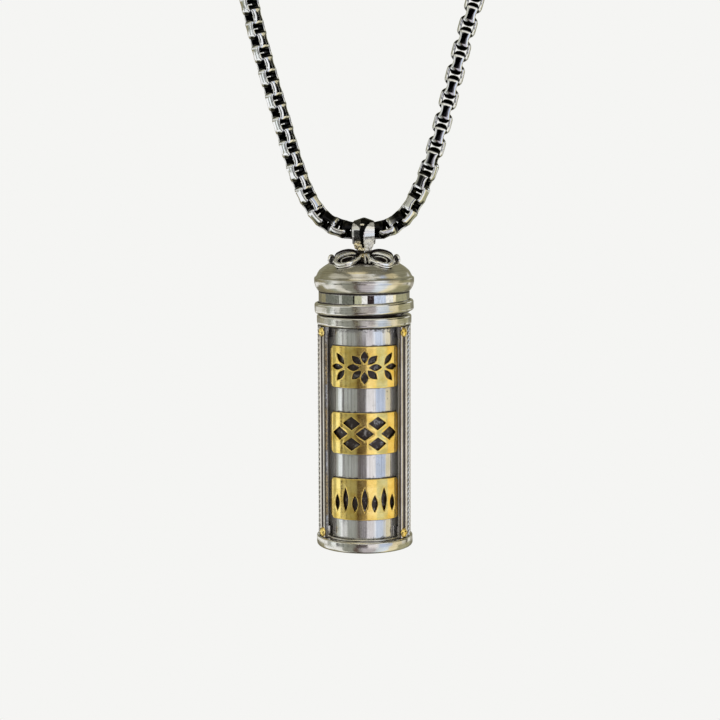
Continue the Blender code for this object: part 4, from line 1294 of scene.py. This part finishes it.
def wire_shade(line, points, front):
    """Painted shade on the sides of a wire that face the hub and the dome, away from the light, and near the
    hub.
    """
    out = flower_turn() @ Vector((0, -front, 0))
    shades = []
    for number, point in enumerate(points):
        middle = line[number // WIRE_SIDES]
        way = (point - middle).normalized()
        lit = max(way.dot(out), UPWARD_LIGHT * way.z * front)
        by_hub = ease((HUB_SHADE - math.hypot(middle.x, middle.y)) / HUB_SHADE_FADE)
        shades.append(max(ease((UNLIT - lit) / UNLIT_FADE), by_hub))
    return shades


def flower_wire(line, radius, front):
    """A wire that thins towards its ends, and its painted shade."""
    last = len(line) - 1
    radii = []
    for step in range(len(line)):
        full = ease(min(step, last - step) / last * WIRE_TIP_PART)
        radii.append(radius * (WIRE_TIP + (1 - WIRE_TIP) * full))
    points, faces = tube(line, radii, Vector((0, 0, 1)))
    return (points, faces), wire_shade(line, points, front)


def leaf_sheet(line):
    """A thin dished sheet inside a loop of wire, which the flower's painted shade darkens."""
    middle = sum(line, Vector()) / len(line)
    rows = []
    for shares, drop in ((LEAF_SHEET, 0.0), (LEAF_SHEET[::-1], LEAF_THICKNESS)):
        for share in shares:
            sink = Vector((0, 0, LEAF_SINK * (1 - share) + drop))
            rows.append([middle.lerp(point, share) - sink for point in line])
    return skin(rows, wrap_rows=True)


def petal(side, front):
    """A loop of wire with a smaller loop inside it and a thin skirt under its outer edge, and its sheet of
    painted shade.
    """
    lift = 0.0 if front > 0 else BACK_LIFT
    line = flower_line(PETAL, side, front, lift)
    wires = [flower_wire(line, PETAL_WIRE, front)]
    middle = sum(line, Vector()) / len(line)
    low = Vector((0, 0, LEAF_SINK * (1 - LEAF_SHARE)))
    wires.append(flower_wire([middle.lerp(point, LEAF_SHARE) - low for point in line], LEAF_WIRE, front))
    skirt = [(x * SKIRT_SPREAD, y * SKIRT_SPREAD, rise - SKIRT_DROP)
             for x, y, rise in PETAL[SKIRT_FIRST:SKIRT_LAST]]
    wires.append(flower_wire(flower_line(skirt, side, front), SKIRT_WIRE, front))
    return wires, leaf_sheet(line)


def curl(side):
    """A small upright loop on the dome's shoulder, with no painted shade, and its sheet."""
    turn = flower_turn(side * CURL_TURN + FLOWER_TURN)
    centre = flower_turn() @ Vector((side * CURL_REACH, 0, 0))
    line = []
    for y, z in circle(1.0, CURL_STEPS):
        line.append(centre + turn @ Vector((0, y * CURL_WIDE, dome_high.z + CURL_RISE + z * CURL_TALL)))
    points, faces = tube(line, [CURL_WIRE] * len(line), turn @ Vector((1, 0, 0)), closed=True)
    return ((points, faces), [0.0] * len(points)), leaf_sheet(line)


def build_flower():
    wires = []
    sheets = []
    for side in (-1, 1):
        for front in (-1, 1):
            more_wires, sheet = petal(side, front)
            wires += more_wires
            sheets.append(sheet)
        loop, sheet = curl(side)
        wires.append(loop)
        sheets.append(sheet)
    knots = []
    for front in (-1, 1):
        for place in PRONG_PLACES:
            points = [(x + place, y, rise) for x, y, rise in PRONG]
            wires.append(flower_wire(flower_line(points, front, front), PRONG_WIRE, front))
        for way in (-1, 1):
            points = [(KNOT_MIDDLE + way * x, y, rise) for x, y, rise in KNOT]
            knots.append(flower_wire(flower_line(points, front, front), KNOT_WIRE, front))
    hole = SHANK_RADIUS + SEAT_GAP
    foot = dome_high.z + SEAT_GAP
    hub = [(hole, foot), (HUB[0][0], foot), *((radius, foot + rise) for radius, rise in HUB)]
    hub += [(hole, hub[-1][1])]
    sheets.append(turned(hub, steps=HUB_STEPS, dent=HUB_DENT, dent_size=HUB_DENT_SIZE))

    # Painted shade: the sheets inside the loops and the hub are dark, the curls' sheets less dark, with a
    # ragged edge.
    def painted_shade(point):
        darkening = 1.0 if abs(point.x) < CURL_REACH - CURL_ROOM else CURL_SHADE
        return darkening + ripple(point, *BED_RIPPLE)

    belongs = ("lid", "polished_silver", ["flower_cap"])
    make_shaded("wire_flower", wires, frosted_silver, *belongs)
    make_piece("flower_bed", joined(sheets), frosted_silver, *belongs, painted_shade)
    make_shaded("flower_knot", knots, gilt_silver, *belongs)


def build_eye():
    line = [Vector((x, 0, eye_centre + z)) for x, z in circle(EYE_RADIUS, EYE_STEPS)]
    loop = tube(line, [EYE_WIRE] * len(line), Vector((0, 1, 0)), closed=True)
    foot = eye_low.z
    top = eye_centre - EYE_RADIUS
    shank = turned([(0.0, foot), (SHANK_RADIUS, foot), (SHANK_RADIUS, top), (0.0, top)], steps=SHANK_STEPS)

    # Painted shade, darker towards the eye's lower half and over its shank.
    def painted_shade(point):
        return EYE_SHADE * ease((eye_centre - point.z) / EYE_SHADE_FADE)

    make_piece("eye", joined([loop, shank]), mirror_silver, "lid", "polished_silver", ["eye_bolt"], painted_shade)


# Bail


def bail_line():
    """The band's inner line round the chain and the bar, in the YZ plane."""
    root = Vector((0, bail_bar + BAIL_BAR / 2 + BAIL_EYE_ROOM))
    crown = Vector((0, chain_height))
    lean = math.degrees(math.asin((BAIL_EYE_ROOM - BAIL_RADIUS) / (crown - root).length))
    outline = arc(crown, BAIL_RADIUS, lean, 180 - lean, BAIL_CROWN_STEPS)
    outline += arc(root, BAIL_EYE_ROOM, 180 - lean, 360 + lean, BAIL_ROOT_STEPS)
    outline += outline[:1]
    return even_points([Vector((0, y, z)) for y, z in outline], BAIL_STEP)[:-1]


def bail_facet(from_top):
    """The share of the band's half width that the diamond facet takes, at an angle from the top."""
    return max(0.0, 1 - abs(from_top - FACET_ANGLE) / FACET_SPREAD)


def bail_section(point, from_top, out):
    """The band's cross-section: a flat inside, then slopes up to a cut ridge and down."""
    spread = ramp(abs(point.y), *BAIL_SPREAD) if point.z < chain_height else 1.0
    half = BAIL_BAR_HALF + (BAIL_HALF - BAIL_BAR_HALF) * spread
    half *= 1 - BAIL_TAPER * clamp(1 - from_top / BAIL_TAPER_END)
    ridge = BAIL_BAR + (BAIL_RIDGE - BAIL_BAR) * spread
    edge = BAIL_BAR_EDGE + (BAIL_EDGE - BAIL_BAR_EDGE) * spread
    top = ridge - max(FACET_CUT * bail_facet(from_top), RIDGE_CUT)
    outline = [(half - BAIL_INSET, 0.0), (-half + BAIL_INSET, 0.0)]
    for share in spaced(-1, 1, BAIL_POINTS):
        outline.append((share * half, min(edge + (ridge - edge) * (1 - abs(share)), top)))
    return [point + Vector((x, 0, 0)) + out * lift for x, lift in outline]


def read_off(pairs, place):
    """The value at a place on a line of (place, value) pairs."""
    if place <= pairs[0][0]:
        return pairs[0][1]
    for (start, low), (end, high) in zip(pairs, pairs[1:]):
        if place <= end:
            return low + (high - low) * (place - start) / (end - start)
    return pairs[-1][1]


def bail_shade(point, from_top, front):
    """Painted dark reflections on the diamond and along the ridge below it, with a painted glint left
    bright, and a painted grey reflection on a patch of one slope, left from the front.
    """
    share = front * point.x / BAIL_HALF
    if -read_off(DARK_LEFT, from_top) < share < read_off(DARK_RIGHT, from_top):
        if GLINT_LEFT < share < GLINT_RIGHT and GLINT_FIRST < from_top < GLINT_LAST:
            return 0.0
        return GREY_SHADE if share < GLINT_LEFT and from_top < GREY_END else 1.0
    drop = chain_height + GREY_TOP - point.z
    on_patch = min(drop, GREY_TALL - drop, share - GREY_LEFT, GREY_RIGHT - share)
    return GREY_SHADE * ease(on_patch / GREY_FADE)


def lump(centre, radius, seed):
    """An uneven ball of solder."""
    rows = []
    for lift in spaced(-LUMP_POLE, LUMP_POLE, LUMP_ROWS):
        ring = []
        for x, y in circle(math.cos(math.radians(lift)), BEAD_SIDES):
            way = Vector((x, y, math.sin(math.radians(lift))))
            swell = LUMP_UNEVEN * noise.noise(way * LUMP_GRAIN + Vector((seed, 0, 0)))
            ring.append(centre + way * radius * (1 + swell))
        rows.append(ring)
    return skin(rows, capped=True)


def build_bail():
    line = bail_line()
    rows = []
    painted_shade = []
    for before, point, after in zip(line[-1:] + line, line, line[1:] + line[:1]):
        along = (after - before).normalized()
        from_top = math.degrees(math.atan2(abs(point.y), point.z - chain_height))
        row = bail_section(point, from_top, Vector((0, along.z, -along.y)))
        rows.append(row)
        front = 1 if point.y < 0 else -1
        # The band's flat inside takes no painted shade; its slopes take the painted reflections and the
        # glint.
        painted_shade += [0.0, 0.0] + [bail_shade(corner, from_top, front) for corner in row[2:]]
    belongs = ("bail", "polished_silver", ["bail"])
    make_piece("bail_band", skin(rows, wrap_rows=True), bail_silver, *belongs, painted_shade)
    for name, material, solder in (
        ("gilt_solder", gilt_silver, GILT_SOLDER), ("white_solder", solder_silver, WHITE_SOLDER),
    ):
        lumps = [lump(Vector((across, -forward, bail_bar + rise)), size, number)
                 for number, (across, rise, forward, size) in enumerate(solder)]
        make_piece(name, joined(lumps), material, *belongs)


def dress_kept_nodes():
    """Finishes of the inner pieces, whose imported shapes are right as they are."""
    for node, material in (
        ("lower_bush", brass), ("upper_bush", brass), ("drum_axle", brass), ("paper_roll", paper),
        ("drum_disc_bottom", lathe_silver), ("drum_disc_top", lathe_silver), ("eye_nut", lathe_silver),
    ):
        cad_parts[node].data.materials.clear()
        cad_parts[node].data.materials.append(material)


# Stage


def shader(tree, kind, colour):
    made = tree.nodes.new(kind)
    made.inputs["Color"].default_value = (*colour, 1.0)
    return made.outputs[0]


def emission(name, colour):
    made = bpy.data.materials.new(name)
    made.use_nodes = True
    tree = made.node_tree
    tree.nodes.clear()
    light = shader(tree, "ShaderNodeEmission", colour)
    tree.links.new(light, tree.nodes.new("ShaderNodeOutputMaterial").inputs["Surface"])
    return made


def stage_mesh(name, shape, material, seen=False):
    points, faces = shape
    mesh = bpy.data.meshes.new(name)
    mesh.from_pydata([point * MM for point in points], [], faces)
    mesh.materials.append(material)
    made = bpy.data.objects.new(name, mesh)
    bpy.context.scene.collection.objects.link(made)
    made.visible_camera = seen
    made.visible_shadow = seen


def card(name, shape, light):
    """A glowing part of the studio, which only reflections show."""
    stage_mesh(name, shape, emission(name, light))


def ring_of_cards(name, cards, edges, end=180):
    """Cards from the first one's bearing to the end, between two edges, (radius, height)."""
    bearings = [bearing for bearing, light in cards] + [end]
    for number, (start, stop, (bearing, light)) in enumerate(zip(bearings, bearings[1:], cards)):
        rows = [[around(radius, angle - 90, height) for angle in spaced(start, stop, CARD_STEPS)]
                for radius, height in edges]
        card(f"{name}_{number}", skin(rows, wrap_points=False), light)


def flat_card(low, high, height):
    rows = [[(x, y, height) for x in (low[0], high[0])] for y in (low[1], high[1])]
    return skin(rows, wrap_points=False)


def flat_square(half, height):
    return flat_card((-half, -half), (half, half), height)


def build_cards():
    foot = FLOOR_HEIGHT
    for name, cards, top in CARD_RINGS:
        ring_of_cards(name, cards, ((CARD_RADIUS, foot), (CARD_RADIUS, top)))
        foot = top
    ring_of_cards("neck_card", NECK_CARDS, NECK_CARD_EDGES, NECK_CARD_END)
    low = FLOOR_HEIGHT + CARD_GAP
    ring_of_cards("floor_card", LATHE_CARDS, ((TABLE_RADIUS, low), (CARD_RADIUS, low)))
    table = [around(TABLE_RADIUS, angle, low) for angle in spaced(0, 360, TABLE_STEPS)[:-1]]
    card("dark_table", (table, [tuple(range(len(table)))]), DARK)
    card("ceiling", flat_square(CARD_RADIUS, CEILING_HEIGHT), CEILING)
    for name, light, near, far in LAMPS:
        card(name, flat_card(near, far, CEILING_HEIGHT - CARD_GAP), light)


def split_rays(tree, shown, lit, surface):
    """The shown shader for camera rays, reflections and rays through glass, the lit one otherwise."""
    path = tree.nodes.new("ShaderNodeLightPath")
    total = path.outputs["Is Camera Ray"]
    for name in ("Is Glossy Ray", "Is Transmission Ray"):
        larger = tree.nodes.new("ShaderNodeMath")
        larger.operation = "MAXIMUM"
        tree.links.new(total, larger.inputs[0])
        tree.links.new(path.outputs[name], larger.inputs[1])
        total = larger.outputs[0]
    mix = tree.nodes.new("ShaderNodeMixShader")
    for place, value in enumerate((total, lit, shown)):
        tree.links.new(value, mix.inputs[place])
    tree.links.new(mix.outputs[0], surface)


def build_background():
    world = bpy.data.worlds.new("studio")
    bpy.context.scene.world = world
    world.use_nodes = True
    tree = world.node_tree
    tree.nodes.clear()
    shown = shader(tree, "ShaderNodeBackground", BACKGROUND)
    lit = shader(tree, "ShaderNodeBackground", AMBIENT)
    split_rays(tree, shown, lit, tree.nodes.new("ShaderNodeOutputWorld").inputs["Surface"])


def build_floor():
    floor = emission("pale_floor", BACKGROUND)
    tree = floor.node_tree
    shown = tree.nodes["Emission"].outputs[0]
    lit = shader(tree, "ShaderNodeBsdfDiffuse", BACKGROUND)
    split_rays(tree, shown, lit, tree.nodes["Material Output"].inputs["Surface"])
    stage_mesh("floor", flat_square(FLOOR_SIZE / 2, FLOOR_HEIGHT), floor, seen=True)


def build_camera():
    data = bpy.data.cameras.new("camera")
    data.sensor_width = SENSOR
    data.lens = SENSOR * CAMERA_DISTANCE / VIEW_WIDTH
    data.clip_start = CLIP_START
    data.clip_end = CLIP_END
    camera = bpy.data.objects.new("camera", data)
    bpy.context.scene.collection.objects.link(camera)
    azimuth = math.radians(CAMERA_AZIMUTH)
    elevation = math.radians(CAMERA_ELEVATION)
    flat = math.cos(elevation)
    back = Vector((math.sin(azimuth) * flat, -math.cos(azimuth) * flat, math.sin(elevation)))
    right = Vector((math.cos(azimuth), math.sin(azimuth), 0))
    aim = right * AIM_RIGHT + Vector((0, 0, AIM_HEIGHT))
    turn = back.to_track_quat("Z", "Y").to_matrix() @ Matrix.Rotation(math.radians(-CAMERA_ROLL), 3, "Z")
    camera.matrix_world = Matrix.Translation((aim + back * CAMERA_DISTANCE) * MM) @ turn.to_4x4()
    bpy.context.scene.camera = camera


chain, chain_path = build_chain()
closure = build_closure()

build_base()
build_collar()
for side, angle in (("left", 180), ("right", 0)):
    build_side_plate(side, angle)
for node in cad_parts:
    if node.startswith("rope_wire_"):
        build_rope(node)
    if node.startswith("rivet_"):
        build_rivet(node)
build_drum()
for node in plaque_nodes():
    build_plaque(node)
build_neck()
build_lid_ring()
build_dome()
build_flower()
build_eye()
build_bail()
dress_kept_nodes()

build_cards()
build_background()
build_floor()
build_camera()
bpy.context.scene.view_settings.view_transform = "Standard"
